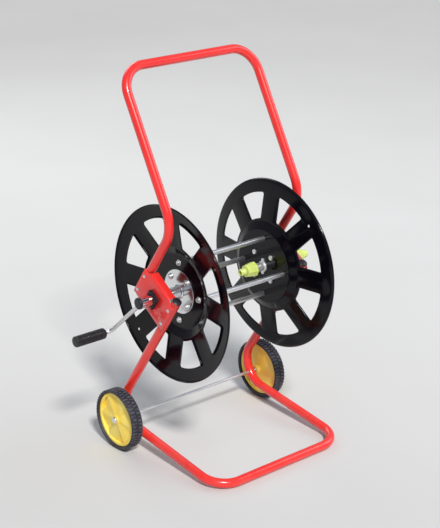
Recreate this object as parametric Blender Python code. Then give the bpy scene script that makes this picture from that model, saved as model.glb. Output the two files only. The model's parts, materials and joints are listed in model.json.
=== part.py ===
"""Garden hose reel cart: a bent-tube trolley that carries a hand-cranked reel on two small wheels.

Metres, +Z up, +X to the right, -Y to the front, where the foot loop lies on the ground.
Everything is laid out from the middle of the wheel axle's shadow on the ground, and the empty
called cart then moves the whole model so that its origin is the middle of its footprint.
"""

import math

import bmesh
import bpy
from mathutils import Matrix, Vector

# ---- clearances -------------------------------------------------------------------------------
GAP = 0.0003                    # between pieces that rest on each other
RUNNING_GAP = 0.0004            # between a shaft and the hole that it turns in

# ---- bent-tube frame --------------------------------------------------------------------------
TUBE_RADIUS = 0.011
TUBE_WALL = 0.0015
TUBE_SIDES = 12
FRAME_HALF_WIDTH = 0.1932       # to the centreline of each side
LEAN = math.radians(34.2)       # of the side tubes, from upright

HANDLE_TOP_Y = 0.0113
HANDLE_TOP_Z = 0.920            # centreline of the hand bar
HANDLE_KINK_Z = 0.590           # where the two straight runs of each leg would meet
HANDLE_CORNER_RADIUS = 0.062
HANDLE_KINK_RADIUS = 0.075
HANDLE_OFFSET = 0.0526          # of the handle's legs from the reel's axis, to the rear
HANDLE_END = 0.040              # how far the legs reach past the reel's axis

SIDE_TUBE_OFFSET = -0.0510      # of the side tubes from the reel's axis, to the front
SIDE_TUBE_END = -0.048          # how far they reach above it
SIDE_TUBE_BEND_RADIUS = 0.063
AXLE_INSET = 0.003              # of the axle's hole from the tube's centreline

FOOT_FRONT_Y = -0.3289
FOOT_CORNER_RADIUS = 0.060
FOOT_JOINT_SETBACK = 0.107      # from the front bar to the joint with the side tubes
FOOT_SLEEVE_LENGTH = 0.056
FOOT_SLEEVE_WALL = 0.0015

PLUG_DEPTH = 0.009
PLUG_DOME = 0.005

# ---- side brackets ----------------------------------------------------------------------------
PLATE_THICKNESS = 0.002
PLATE_TOP = -0.044              # along the tubes, from the reel's axis
PLATE_BOTTOM = 0.044
PLATE_HALF_SPAN = 0.0615        # across the tubes
PLATE_CORNER_RADIUS = 0.008
PLATE_FLANGE_DEPTH = 0.020
RIVET_STATIONS = (-0.020, 0.027)
RIVET_HEAD_RADIUS = 0.0043
RIVET_HEAD_HEIGHT = 0.0020
RIVET_SHANK_RADIUS = 0.0022
RIVET_SHANK_LENGTH = 0.0060

# ---- reel -------------------------------------------------------------------------------------
REEL_Y = -0.1146
REEL_Z = 0.4123
FLANGE_SHEET = 0.0015
FLANGE_RADIUS = 0.211
FLANGE_PLATEAU_RADIUS = 0.088
FLANGE_PLATEAU_X = 0.129        # inner face of the flat middle
FLANGE_CONE_RADIUS = 0.113
FLANGE_CONE_X = 0.1395
FLANGE_RIM_X = 0.154
FLANGE_LIP_RADIUS = 0.204
FLANGE_LIP_DEPTH = 0.007
FLANGE_SEGMENTS = 40
WINDOW_COUNT = 8
WINDOW_INNER_RADIUS = 0.115
WINDOW_OUTER_RADIUS = 0.1775
SPOKE_WIDTH = 0.0525
PEG_HOLE_RADIUS = 0.0032
PEG_HOLE_FROM_AXIS = 0.184
PEG_HOLE_ANGLES = {"left": math.radians(-45), "right": math.radians(135)}

BAR_COUNT = 4
BAR_CIRCLE_RADIUS = 0.0705
BAR_RADIUS = 0.006
BAR_BORE_RADIUS = 0.0034
BAR_START = math.radians(90)
BOLT_RADIUS = 0.003
BOLT_HEAD_RADIUS = 0.0055
BOLT_HEAD_HEIGHT = 0.0042
BOLT_WASHER_RADIUS = 0.0075
BOLT_WASHER_HEIGHT = 0.0014
BAR_BOLT_LENGTH = 0.018

DISC_RADIUS = 0.053
DISC_THICKNESS = 0.002
DISC_BOLT_COUNT = 4
DISC_BOLT_CIRCLE_RADIUS = 0.0415
DISC_BOLT_START = math.radians(45)
DISC_BOLT_LENGTH = 0.010

# ---- shafts, bushes and crank -----------------------------------------------------------------
SHAFT_RADIUS = 0.0135
SHAFT_WALL = 0.0025
SHAFT_SIDES = 20
NECK_STEP = 0.003               # of the weld collar where each shaft stands on its disc
NECK_LENGTH = 0.004
CRANK_SHAFT_REACH = 0.0385      # past the outer face of the bracket
END_CAP_LENGTH = 0.0065
END_CAP_SPIGOT = 0.0012
BUSH_WALL = 0.003               # of its square body, at its thinnest
BUSH_DEPTH = 0.0095
BUSH_BOSS_WALL = 0.0018
BUSH_BOSS_REACH = 0.004         # past the inner face of the plate
CRANK_ROD_REACH = 0.0315        # of the rod's axis past the outer face of the bracket
CRANK_ANGLE = math.radians(-41.4)
CRANK_ARM = 0.1670
CRANK_ROD_RADIUS = 0.005
CRANK_ELBOW_RADIUS = 0.014
CRANK_ROD_TAIL = 0.009          # how far the rod reaches past the shaft's axis, inside it
GRIP_SETBACK = 0.0185           # from the rod's axis at the shaft to the grip
GRIP_LENGTH = 0.080
GRIP_RADIUS = 0.0132
GRIP_GROOVES = 6
GRIP_GROOVE_DEPTH = 0.0012
ROD_END_REACH = 0.0035          # of the rod past the grip

# ---- water path -------------------------------------------------------------------------------
WATER_SHAFT_REACH = 0.0265      # past the outer face of the bracket
WATER_SPIGOT_RADIUS = 0.0095
WATER_SPIGOT_LENGTH = 0.012
WATER_BORE_RADIUS = 0.0060
OUTLET_BARREL_RADIUS = 0.0105
OUTLET_COLLAR_RADIUS = 0.0135
OUTLET_COLLAR_LENGTH = 0.0040
OUTLET_NUT_START_X = 0.0985
OUTLET_NUT_END_X = 0.0700
OUTLET_NUT_RADIUS = 0.0190
OUTLET_NIPPLE_END_X = 0.0539
OUTLET_NIPPLE_RADIUS = 0.0083
OUTLET_BORE_RADIUS = 0.0055
INLET_RADIUS = 0.0145
INLET_LENGTH = 0.0220
INLET_NIPPLE_RADIUS = 0.0100
INLET_NIPPLE_LENGTH = 0.0130

# ---- wheels -----------------------------------------------------------------------------------
WHEEL_RADIUS = 0.075
WHEEL_CLEARANCE = 0.0233        # from each side tube to the middle plane of its wheel
TYRE_HALF_WIDTH = 0.016
TYRE_DEPTH = 0.0082             # from the tread to its seat on the hub
HUB_HALF_WIDTH = 0.0105
HUB_WEB_THICKNESS = 0.004
HUB_RIM_THICKNESS = 0.004
HUB_BOSS_RADIUS = 0.012
HUB_BOSS_INNER = 0.0205         # boss reach from the wheel's middle plane towards the frame
HUB_BOSS_OUTER = 0.0130
WHEEL_SEGMENTS = 28
AXLE_RADIUS = 0.004
AXLE_SIDES = 16
PUSH_NUT_RADIUS = 0.0085
PUSH_NUT_HEIGHT = 0.005
PUSH_NUT_SKIN = 0.0015          # closed end beyond the axle

# ---- colours: base colour, roughness, metallic ------------------------------------------------
FINISHES = {
    "red_enamel": ((0.72, 0.035, 0.022), 0.22, 0.0),
    "black_enamel": ((0.008, 0.007, 0.010), 0.12, 0.0),
    "black_plastic": ((0.012, 0.012, 0.013), 0.45, 0.0),
    "chrome": ((0.80, 0.81, 0.82), 0.10, 1.0),
    "zinc": ((0.66, 0.68, 0.70), 0.28, 1.0),
    "yellow_plastic": ((0.80, 0.55, 0.06), 0.38, 0.0),
    "tyre_rubber": ((0.018, 0.018, 0.022), 0.75, 0.0),
    "grip_rubber": ((0.010, 0.010, 0.011), 0.55, 0.0),
    "lime_plastic": ((0.66, 0.74, 0.20), 0.25, 0.0),
}

# ---- places that follow from the sizes above --------------------------------------------------
DOWN_TUBE = Vector((0, math.sin(LEAN), -math.cos(LEAN)))
ACROSS_TUBE = Vector((0, math.cos(LEAN), math.sin(LEAN)))
REEL_AXIS = Vector((0, REEL_Y, REEL_Z))
AXLE_CENTRE = Vector((0, 0, WHEEL_RADIUS))
FOOT_Z = TUBE_RADIUS * math.cos(math.pi / TUBE_SIDES)   # its lowest flat lies on the ground
BORE_RADIUS = TUBE_RADIUS - TUBE_WALL
PLATE_X = FRAME_HALF_WIDTH + TUBE_RADIUS + GAP          # inner face of each bracket plate
PLATE_OUTER_X = PLATE_X + PLATE_THICKNESS
PLATEAU_OUTER_X = FLANGE_PLATEAU_X + FLANGE_SHEET
DISC_X = PLATEAU_OUTER_X + GAP
NECK_RADIUS = SHAFT_RADIUS + NECK_STEP
BUSH_WIDTH = 2 * (SHAFT_RADIUS + BUSH_WALL)
BUSH_BOSS_RADIUS = SHAFT_RADIUS + BUSH_BOSS_WALL
CRANK_SHAFT_END = PLATE_OUTER_X + CRANK_SHAFT_REACH
WATER_SHAFT_END = PLATE_OUTER_X + WATER_SHAFT_REACH
CRANK_X = -(PLATE_OUTER_X + CRANK_ROD_REACH)
GRIP_START_X = CRANK_X - GRIP_SETBACK
WHEEL_X = FRAME_HALF_WIDTH + TUBE_RADIUS + WHEEL_CLEARANCE
TYRE_SEAT_RADIUS = WHEEL_RADIUS - TYRE_DEPTH
GRIP_END_X = GRIP_START_X - GRIP_LENGTH
TYRE_CORNER_RADIUS = WHEEL_RADIUS / math.cos(math.pi / WHEEL_SEGMENTS)   # so its flats roll
INLET_END_X = WATER_SHAFT_END + GAP + INLET_LENGTH + INLET_NIPPLE_LENGTH
ROD_END_X = GRIP_END_X - GAP - ROD_END_REACH


def clear_radius(radius, sides, gap=GAP):
    """Corner radius of a faceted hole whose flats clear a round piece of this radius."""
    return (radius + gap) / math.cos(math.pi / sides)


# ---- helpers ----------------------------------------------------------------------------------
def clear_scene():
    """Remove whatever the startup file holds."""
    for old in list(bpy.data.objects):
        bpy.data.objects.remove(old, do_unlink=True)


def finish_material(name):
    """The Principled material of one finish, made the first time that it is asked for."""
    if name in bpy.data.materials:
        return bpy.data.materials[name]
    colour, roughness, metallic = FINISHES[name]
    material = bpy.data.materials.new(name)
    material.use_nodes = True
    shader = material.node_tree.nodes["Principled BSDF"]
    shader.inputs["Base Color"].default_value = (*colour, 1.0)
    shader.inputs["Roughness"].default_value = roughness
    shader.inputs["Metallic"].default_value = metallic
    material.diffuse_color = (*colour, 1.0)
    return material


def empty(name, parent, location):
    """An empty that carries pieces, such as all that turns about one axis."""
    holder = bpy.data.objects.new(name, None)
    bpy.context.scene.collection.objects.link(holder)
    holder.parent = parent
    holder.location = location
    return holder


def piece(name, bm, finish, parent, location=(0, 0, 0), smooth_angle=35):
    """Turn a bmesh into one object with its own finish, its faces pointing out."""
    bmesh.ops.remove_doubles(bm, verts=bm.verts, dist=1e-6)
    bmesh.ops.recalc_face_normals(bm, faces=bm.faces)
    mesh = bpy.data.meshes.new(name)
    bm.to_mesh(mesh)
    bm.free()
    mesh.shade_smooth()
    mesh.set_sharp_from_angle(angle=math.radians(smooth_angle))
    obj = bpy.data.objects.new(name, mesh)
    bpy.context.scene.collection.objects.link(obj)
    obj.parent = parent
    obj.location = location
    mesh.materials.append(finish_material(finish))
    return obj


def boolean(target, tool, operation="DIFFERENCE"):
    """Cut or join a hidden tool, which stays in the scene as a wire."""
    tool.hide_render = True
    tool.display_type = "WIRE"
    modifier = target.modifiers.new(f"{operation.lower()}_{tool.name}", "BOOLEAN")
    modifier.operation = operation
    modifier.solver = "EXACT"
    modifier.object = tool


def spun(outline, sides, phase=0.0):
    """A bmesh turned about X from an outline of (x, radius) points.

    An outline that starts and ends on the axis is open there; any other is a closed ring.
    """
    bm = bmesh.new()
    turn = (math.cos(phase), math.sin(phase))
    points = [bm.verts.new((x, r * turn[0], r * turn[1])) for x, r in outline]
    on_axis = outline[0][1] == 0 and outline[-1][1] == 0
    pairs = list(zip(points, points[1:])) if on_axis else list(zip(points, points[1:] + points[:1]))
    edges = [bm.edges.new(pair) for pair in pairs]
    bmesh.ops.spin(bm, geom=points + edges, cent=(0, 0, 0), axis=(1, 0, 0), angle=2 * math.pi,
                   steps=sides, use_merge=True)
    bmesh.ops.remove_doubles(bm, verts=bm.verts, dist=1e-6)
    bmesh.ops.dissolve_degenerate(bm, edges=bm.edges, dist=1e-7)
    return bm


def turned(name, outline, finish, parent, sides=16, phase=0.0, location=(0, 0, 0)):
    """A turned piece about its object's own X axis."""
    return piece(name, spun(outline, sides, phase), finish, parent, location)


def ring_outline(x0, x1, inner, outer):
    """The outline of a plain tube or washer from x0 to x1."""
    return [(x0, outer), (x1, outer), (x1, inner), (x0, inner)]


def add_rod(bm, start, end, radius, sides=12):
    """Add a closed straight rod to a bmesh, from start to end."""
    axis = end - start
    turn = Vector((0, 0, 1)).rotation_difference(axis.normalized()).to_matrix().to_4x4()
    place = Matrix.Translation((start + end) / 2) @ turn
    bmesh.ops.create_cone(bm, cap_ends=True, segments=sides, radius1=radius, radius2=radius,
                          depth=axis.length, matrix=place)


def rods_tool(name, rods, parent, location=(0, 0, 0), sides=12):
    """A hidden tool made of straight rods, each given as (start, end, radius)."""
    bm = bmesh.new()
    for start, end, radius in rods:
        add_rod(bm, Vector(start), Vector(end), radius, sides)
    return piece(name, bm, "zinc", parent, location)


def rounded_path(corners, radii, step=math.radians(18)):
    """Points along straight runs whose inner corners are arcs of the given radii."""
    path = [corners[0]]
    for before, corner, after, radius in zip(corners, corners[1:], corners[2:], radii):
        into = (corner - before).normalized()
        out = (after - corner).normalized()
        turn = into.angle(out)
        reach = radius * math.tan(turn / 2)
        centre = corner + (out - into).normalized() * radius / math.cos(turn / 2)
        spoke = corner - into * reach - centre
        axis = into.cross(out).normalized()
        count = max(2, math.ceil(turn / step))
        path += [centre + Matrix.Rotation(turn * i / count, 3, axis) @ spoke for i in range(count + 1)]
    path.append(corners[-1])
    return path


def swept(path, radius, first_normal, bore=None, sides=TUBE_SIDES, phase=0.0):
    """A bmesh tube along a path, mitred at each point, hollow where a bore is given.

    The corners of its section are counted from first_normal, which stays square to the path.
    """
    bm = bmesh.new()
    steps = [(b - a).normalized() for a, b in zip(path, path[1:])]
    intos = [steps[0]] + steps
    outs = steps + [steps[-1]]
    normal = (first_normal - steps[0] * first_normal.dot(steps[0])).normalized()
    frames = []
    tangent = steps[0]
    for point, into, out in zip(path, intos, outs):
        along = (into + out).normalized()
        normal = tangent.rotation_difference(along) @ normal
        tangent = along
        bend = (out - into).normalized()
        frames.append((point, normal.copy(), normal.cross(tangent), bend, 1 / along.dot(into) - 1))

    def skin(skin_radius):
        rings = []
        for point, up, across, bend, stretch in frames:
            ring = []
            for n in range(sides):
                angle = phase + 2 * math.pi * n / sides
                arm = skin_radius * (up * math.cos(angle) + across * math.sin(angle))
                ring.append(bm.verts.new(point + arm + bend * arm.dot(bend) * stretch))
            rings.append(ring)
        for ring, following in zip(rings, rings[1:]):
            for n in range(sides):
                m = (n + 1) % sides
                bm.faces.new((ring[n], ring[m], following[m], following[n]))
        return rings[0], rings[-1]

    outer_ends = skin(radius)
    if bore is None:
        for ring in outer_ends:
            bm.faces.new(ring)
        return bm
    for outer, inner in zip(outer_ends, skin(bore)):
        for n in range(sides):
            m = (n + 1) % sides
            bm.faces.new((outer[n], outer[m], inner[m], inner[n]))
    return bm


def on_circle(count, start, radius):
    """(angle, y, z) of equally spaced places about an axis along X."""
    for k in range(count):
        angle = start + 2 * math.pi * k / count
        yield angle, radius * math.cos(angle), radius * math.sin(angle)


SIDES = (("left", -1), ("right", 1))
X_AXIS = Vector((1, 0, 0))
Z_AXIS = Vector((0, 0, 1))


# ---- frame ------------------------------------------------------------------------------------
def beside_reel(side, along, across, x=FRAME_HALF_WIDTH):
    """A point given along and across the tubes from the reel's axis."""
    place = REEL_AXIS + DOWN_TUBE * along + ACROSS_TUBE * across
    return Vector((side * x, place.y, place.z))


def side_tube_corners():
    """Upper end, bend corner and foot joint of a side tube, in its own plane.

    The bend is an arc that the axle crosses a little inside its centreline, and the run along
    the ground leaves that arc towards the front bar.
    """
    axle_across = (AXLE_CENTRE - REEL_AXIS).dot(ACROSS_TUBE)
    reach = SIDE_TUBE_BEND_RADIUS - AXLE_INSET
    swing = math.acos((SIDE_TUBE_OFFSET - SIDE_TUBE_BEND_RADIUS - axle_across) / reach)
    direction = LEAN + swing
    centre = AXLE_CENTRE + reach * Vector((0, math.cos(direction), math.sin(direction)))
    front = Vector((0, FOOT_FRONT_Y, FOOT_Z))
    to_front = front - centre
    leave = math.atan2(to_front.z, to_front.y) + math.acos(SIDE_TUBE_BEND_RADIUS / to_front.length)
    turn = LEAN - (leave - 2 * math.pi if leave > 0 else leave)
    corner = centre + ACROSS_TUBE * SIDE_TUBE_BEND_RADIUS
    corner += DOWN_TUBE * SIDE_TUBE_BEND_RADIUS * math.tan(turn / 2)
    along_foot = (corner - front).normalized()
    joint = front + along_foot * FOOT_JOINT_SETBACK
    top = REEL_AXIS + DOWN_TUBE * SIDE_TUBE_END + ACROSS_TUBE * SIDE_TUBE_OFFSET
    return top, corner, joint, front


def rivet_hole(side, along, across):
    """The hole for one rivet, through the plate and the outer wall of the tube behind it."""
    start = beside_reel(side, along, across, PLATE_OUTER_X + 0.002)
    end = beside_reel(side, along, across, FRAME_HALF_WIDTH + TUBE_RADIUS / 2)
    return start, end, clear_radius(RIVET_SHANK_RADIUS, 12)


def build_handle(cart):
    """The handle: one tube bent into a loop, whose legs kink forward to meet the reel."""
    legs = []
    for _, side in SIDES:
        low = beside_reel(side, HANDLE_END, HANDLE_OFFSET)
        kink = low - DOWN_TUBE * (HANDLE_KINK_Z - low.z) / -DOWN_TUBE.z
        top = Vector((low.x, HANDLE_TOP_Y, HANDLE_TOP_Z))
        legs.append([low, kink, top])
    radii = [HANDLE_KINK_RADIUS, HANDLE_CORNER_RADIUS, HANDLE_CORNER_RADIUS, HANDLE_KINK_RADIUS]
    path = rounded_path(legs[0] + legs[1][::-1], radii)
    handle = piece("handle_frame", swept(path, TUBE_RADIUS, X_AXIS, BORE_RADIUS), "red_enamel", cart)
    holes = [rivet_hole(side, along, HANDLE_OFFSET) for _, side in SIDES for along in RIVET_STATIONS]
    boolean(handle, rods_tool("handle_rivet_holes", holes, cart))


def build_lower_frame(cart):
    """Both side tubes, the foot loop between them, and the sleeves inside their joints."""
    top, corner, joint, front = side_tube_corners()
    foot_run = (joint - front).normalized()
    gap = foot_run * GAP / 2
    for name, side in SIDES:
        sideways = X_AXIS * side * FRAME_HALF_WIDTH
        path = rounded_path([top + sideways, corner + sideways, joint + gap + sideways],
                            [SIDE_TUBE_BEND_RADIUS])
        tube = swept(path, TUBE_RADIUS, X_AXIS, BORE_RADIUS)
        tube = piece(f"side_tube_{name}", tube, "red_enamel", cart)
        axle_x = side * FRAME_HALF_WIDTH
        reach = side * TUBE_RADIUS * 2
        axle_hole = ((axle_x - reach, 0, AXLE_CENTRE.z), (axle_x + reach, 0, AXLE_CENTRE.z),
                     clear_radius(AXLE_RADIUS, 12))
        holes = [rivet_hole(side, along, SIDE_TUBE_OFFSET) for along in RIVET_STATIONS]
        boolean(tube, rods_tool(f"side_tube_{name}_holes", holes + [axle_hole], cart))

        half = foot_run * FOOT_SLEEVE_LENGTH / 2
        sleeve_radius = (BORE_RADIUS - GAP) * math.cos(math.pi / TUBE_SIDES)
        sleeve = swept([joint - half + sideways, joint + half + sideways], sleeve_radius, X_AXIS,
                       sleeve_radius - FOOT_SLEEVE_WALL)
        piece(f"foot_sleeve_{name}", sleeve, "zinc", cart)

    corners = []
    for _, side in SIDES:
        sideways = X_AXIS * side * FRAME_HALF_WIDTH
        corners.append([joint - gap + sideways, front + sideways])
    path = rounded_path(corners[0] + corners[1][::-1], [FOOT_CORNER_RADIUS] * 2)
    plane_normal = foot_run.cross(X_AXIS)
    straight_down = math.atan2(-Z_AXIS.dot(plane_normal.cross(X_AXIS)), -Z_AXIS.dot(plane_normal))
    phase = straight_down + math.pi / TUBE_SIDES
    loop = swept(path, TUBE_RADIUS, plane_normal, BORE_RADIUS, phase=phase)
    piece("foot_loop", loop, "red_enamel", cart)


def build_tube_plugs(cart):
    """A domed plug in the open upper end of each side tube and the lower end of each leg."""
    seat = (BORE_RADIUS - GAP) * math.cos(math.pi / TUBE_SIDES)
    outline = [(-PLUG_DEPTH, 0), (-PLUG_DEPTH, seat), (GAP, seat), (GAP, TUBE_RADIUS),
               (PLUG_DOME * 0.55, TUBE_RADIUS * 0.86), (PLUG_DOME, TUBE_RADIUS * 0.5), (PLUG_DOME, 0)]
    places = (("side_plug", SIDE_TUBE_END, SIDE_TUBE_OFFSET, -DOWN_TUBE),
              ("handle_plug", HANDLE_END, HANDLE_OFFSET, DOWN_TUBE))
    for kind, along, across, outwards in places:
        for name, side in SIDES:
            plug = turned(f"{kind}_{name}", outline, "black_plastic", cart,
                          location=beside_reel(side, along, across))
            plug.rotation_mode = "QUATERNION"
            plug.rotation_quaternion = X_AXIS.rotation_difference(outwards)


def build_bracket(cart, name, side):
    """A pressed plate that joins the handle to a side tube and carries the reel's bush."""
    sheet = PLATE_THICKNESS
    tube_room = TUBE_RADIUS + 0.0015
    alongs = [PLATE_TOP, PLATE_TOP + sheet, PLATE_BOTTOM - sheet, PLATE_BOTTOM]
    acrosses = [-PLATE_HALF_SPAN, SIDE_TUBE_OFFSET + tube_room,
                HANDLE_OFFSET - tube_room, PLATE_HALF_SPAN]
    bm = bmesh.new()
    grid = [[bm.verts.new(beside_reel(side, a, c, PLATE_X)) for c in acrosses] for a in alongs]
    cells = [[bm.faces.new((grid[i][j], grid[i + 1][j], grid[i + 1][j + 1], grid[i][j + 1]))
              for j in range(3)] for i in range(3)]
    all_cells = [face for row in cells for face in row]
    outside = bmesh.ops.extrude_face_region(bm, geom=all_cells, use_keep_orig=True)
    moved = [v for v in outside["geom"] if isinstance(v, bmesh.types.BMVert)]
    bmesh.ops.translate(bm, verts=moved, vec=X_AXIS * side * sheet)
    # Both edges between the tubes are folded inwards.
    for strip in (cells[0][1], cells[2][1]):
        fold = bmesh.ops.extrude_discrete_faces(bm, faces=[strip])["faces"]
        bmesh.ops.translate(bm, verts=list(fold[0].verts), vec=X_AXIS * -side * PLATE_FLANGE_DEPTH)
    corner_edges = []
    for edge in bm.edges:
        ends = [v.co - REEL_AXIS for v in edge.verts]
        along = ends[0].dot(DOWN_TUBE)
        at_side = all(abs(end.dot(ACROSS_TUBE)) > PLATE_HALF_SPAN - 1e-6 for end in ends)
        at_end = min(abs(along - PLATE_TOP), abs(along - PLATE_BOTTOM)) < 1e-6
        if at_side and at_end and abs(abs((ends[1] - ends[0]).x) - sheet) < 1e-6:
            corner_edges.append(edge)
    bmesh.ops.bevel(bm, geom=corner_edges, offset=PLATE_CORNER_RADIUS, segments=3, affect="EDGES",
                    profile=0.5, clamp_overlap=True)
    plate = piece(f"bracket_{name}", bm, "red_enamel", cart)
    holes = [rivet_hole(side, along, across) for along in RIVET_STATIONS
             for across in (HANDLE_OFFSET, SIDE_TUBE_OFFSET)]
    boolean(plate, rods_tool(f"bracket_{name}_rivet_holes", holes, cart))
    bush_hole = [(beside_reel(side, 0, 0, PLATE_X - PLATE_THICKNESS),
                  beside_reel(side, 0, 0, PLATE_OUTER_X + PLATE_THICKNESS),
                  clear_radius(BUSH_BOSS_RADIUS, SHAFT_SIDES))]
    boolean(plate, rods_tool(f"bracket_{name}_bush_hole", bush_hole, cart, sides=SHAFT_SIDES))


def build_rivets(cart):
    """The domed rivets that hold each plate to its two tubes."""
    head, shank = RIVET_HEAD_RADIUS, RIVET_SHANK_RADIUS
    outline = [(-RIVET_SHANK_LENGTH, 0), (-RIVET_SHANK_LENGTH, shank), (GAP, shank), (GAP, head),
               (RIVET_HEAD_HEIGHT * 0.6, head * 0.8), (RIVET_HEAD_HEIGHT, head * 0.4),
               (RIVET_HEAD_HEIGHT, 0)]
    for name, side in SIDES:
        outwards = [(side * x, radius) for x, radius in outline]
        for row, across in (("handle", HANDLE_OFFSET), ("side", SIDE_TUBE_OFFSET)):
            for number, along in enumerate(RIVET_STATIONS, 1):
                turned(f"rivet_{row}_{name}_{number}", outwards, "zinc", cart, sides=10,
                       location=beside_reel(side, along, across, PLATE_OUTER_X))


def build_bush(cart, name, side):
    """A square plastic bush outside the plate, with a round boss through it around the shaft."""
    bm = bmesh.new()
    middle = side * (PLATE_OUTER_X + GAP + BUSH_DEPTH / 2)
    turn = Matrix.Rotation(LEAN, 4, "X")
    size = Matrix.Diagonal((BUSH_DEPTH, BUSH_WIDTH, BUSH_WIDTH, 1))
    bmesh.ops.create_cube(bm, size=1, matrix=Matrix.Translation((middle, 0, 0)) @ turn @ size)
    bush = piece(f"bush_{name}", bm, "black_plastic", cart, location=REEL_AXIS)
    inner = side * (PLATE_X - BUSH_BOSS_REACH)
    boss = rods_tool(f"bush_{name}_boss", [((inner, 0, 0), (middle, 0, 0), BUSH_BOSS_RADIUS)], cart,
                     REEL_AXIS, SHAFT_SIDES)
    boolean(bush, boss, "UNION")
    outer = side * (PLATE_OUTER_X + BUSH_DEPTH + 0.01)
    bore_radius = clear_radius(SHAFT_RADIUS, SHAFT_SIDES, RUNNING_GAP)
    bore = [((inner - side * 0.01, 0, 0), (outer, 0, 0), bore_radius)]
    boolean(bush, rods_tool(f"bush_{name}_bore", bore, cart, REEL_AXIS, SHAFT_SIDES))


# ---- reel -------------------------------------------------------------------------------------
def window_outline(centre_angle):
    """Corners of one flange window: an arc at each end and sides parallel to the spokes."""
    half_pitch = math.pi / WINDOW_COUNT
    outline = []
    for radius, count, direction in ((WINDOW_INNER_RADIUS, 3, 1), (WINDOW_OUTER_RADIUS, 5, -1)):
        half = half_pitch - math.asin(SPOKE_WIDTH / 2 / radius)
        for n in range(count):
            angle = centre_angle + direction * half * (2 * n / (count - 1) - 1)
            outline.append((radius * math.cos(angle), radius * math.sin(angle)))
    return outline


def build_flange(reel, name, side):
    """A pressed disc: flat middle, cone, dished windowed ring and a rolled rim."""
    sheet = FLANGE_SHEET
    hole = clear_radius(OUTLET_BARREL_RADIUS, SHAFT_SIDES)
    lip_x = FLANGE_RIM_X + FLANGE_LIP_DEPTH
    inner_face = [(FLANGE_PLATEAU_X, hole), (FLANGE_PLATEAU_X, FLANGE_PLATEAU_RADIUS),
                  (FLANGE_CONE_X, FLANGE_CONE_RADIUS), (FLANGE_RIM_X, FLANGE_LIP_RADIUS),
                  (FLANGE_RIM_X + 0.0015, FLANGE_RADIUS - 0.002), (FLANGE_RIM_X + 0.0035, FLANGE_RADIUS),
                  (lip_x, FLANGE_RADIUS)]
    outer_face = [(lip_x, FLANGE_RADIUS - sheet), (FLANGE_RIM_X + 0.0035, FLANGE_RADIUS - sheet),
                  (FLANGE_RIM_X + sheet, FLANGE_LIP_RADIUS - 0.001),
                  (FLANGE_CONE_X + sheet, FLANGE_CONE_RADIUS), (PLATEAU_OUTER_X, FLANGE_PLATEAU_RADIUS),
                  (PLATEAU_OUTER_X, hole)]
    outline = [(side * x, radius) for x, radius in inner_face + outer_face]
    flange = turned(f"reel_flange_{name}", outline, "black_enamel", reel, FLANGE_SEGMENTS)

    near, far = side * (FLANGE_PLATEAU_X - 0.02), side * (lip_x + 0.02)
    bm = bmesh.new()
    for k in range(WINDOW_COUNT):
        corners = window_outline(2 * math.pi * (k + 0.5) / WINDOW_COUNT)
        face = bm.faces.new([bm.verts.new((near, y, z)) for y, z in corners])
        top = bmesh.ops.extrude_face_region(bm, geom=[face], use_keep_orig=True)["geom"]
        bmesh.ops.translate(bm, verts=[v for v in top if isinstance(v, bmesh.types.BMVert)],
                            vec=(far - near, 0, 0))
    boolean(flange, piece(f"flange_{name}_windows", bm, "zinc", reel))

    holes = [(BAR_COUNT, BAR_START, BAR_CIRCLE_RADIUS),
             (DISC_BOLT_COUNT, DISC_BOLT_START, DISC_BOLT_CIRCLE_RADIUS)]
    rods = [((near, y, z), (far, y, z), clear_radius(BOLT_RADIUS, 12))
            for count, start, radius in holes for _, y, z in on_circle(count, start, radius)]
    _, peg_y, peg_z = next(on_circle(1, PEG_HOLE_ANGLES[name], PEG_HOLE_FROM_AXIS))
    rods.append(((near, peg_y, peg_z), (far, peg_y, peg_z), PEG_HOLE_RADIUS))
    boolean(flange, rods_tool(f"flange_{name}_holes", rods, reel))


def build_drum_bars(reel):
    """The tubes between both flanges, and the washer-faced bolts in their ends."""
    half_length = FLANGE_PLATEAU_X - GAP
    outline = ring_outline(-half_length, half_length, BAR_BORE_RADIUS, BAR_RADIUS)
    for number, (_, y, z) in enumerate(on_circle(BAR_COUNT, BAR_START, BAR_CIRCLE_RADIUS), 1):
        turned(f"drum_bar_{number}", outline, "zinc", reel, 12, location=(0, y, z))
        for name, side in SIDES:
            build_bolt(f"bar_bolt_{name}_{number}", side, PLATEAU_OUTER_X, BAR_BOLT_LENGTH, y, z, reel)


def build_bolt(name, side, seat_x, length, y, z, reel):
    """A bolt with a hexagonal head and a washer face, its shank pointing into the drum."""
    head_start = GAP + BOLT_WASHER_HEIGHT
    outline = [(-length, 0), (-length, BOLT_RADIUS), (GAP, BOLT_RADIUS), (GAP, BOLT_WASHER_RADIUS),
               (head_start, BOLT_WASHER_RADIUS), (head_start, BOLT_HEAD_RADIUS),
               (head_start + BOLT_HEAD_HEIGHT, BOLT_HEAD_RADIUS), (head_start + BOLT_HEAD_HEIGHT, 0)]
    turned(name, [(side * x, radius) for x, radius in outline], "zinc", reel, 6,
           location=(side * seat_x, y, z))


def shaft_outline(side, end_x, bore, spigot=None):
    """A disc with a weld collar and a tube standing on it, and perhaps a narrower spigot."""
    face = DISC_X + DISC_THICKNESS
    outline = [(DISC_X, bore), (DISC_X, DISC_RADIUS), (face, DISC_RADIUS), (face, NECK_RADIUS),
               (face + NECK_LENGTH, SHAFT_RADIUS), (end_x, SHAFT_RADIUS)]
    if spigot:
        spigot_end = end_x + WATER_SPIGOT_LENGTH
        outline += [(end_x, spigot), (spigot_end, spigot), (spigot_end, bore)]
    else:
        outline.append((end_x, bore))
    return [(side * x, radius) for x, radius in outline]


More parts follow.
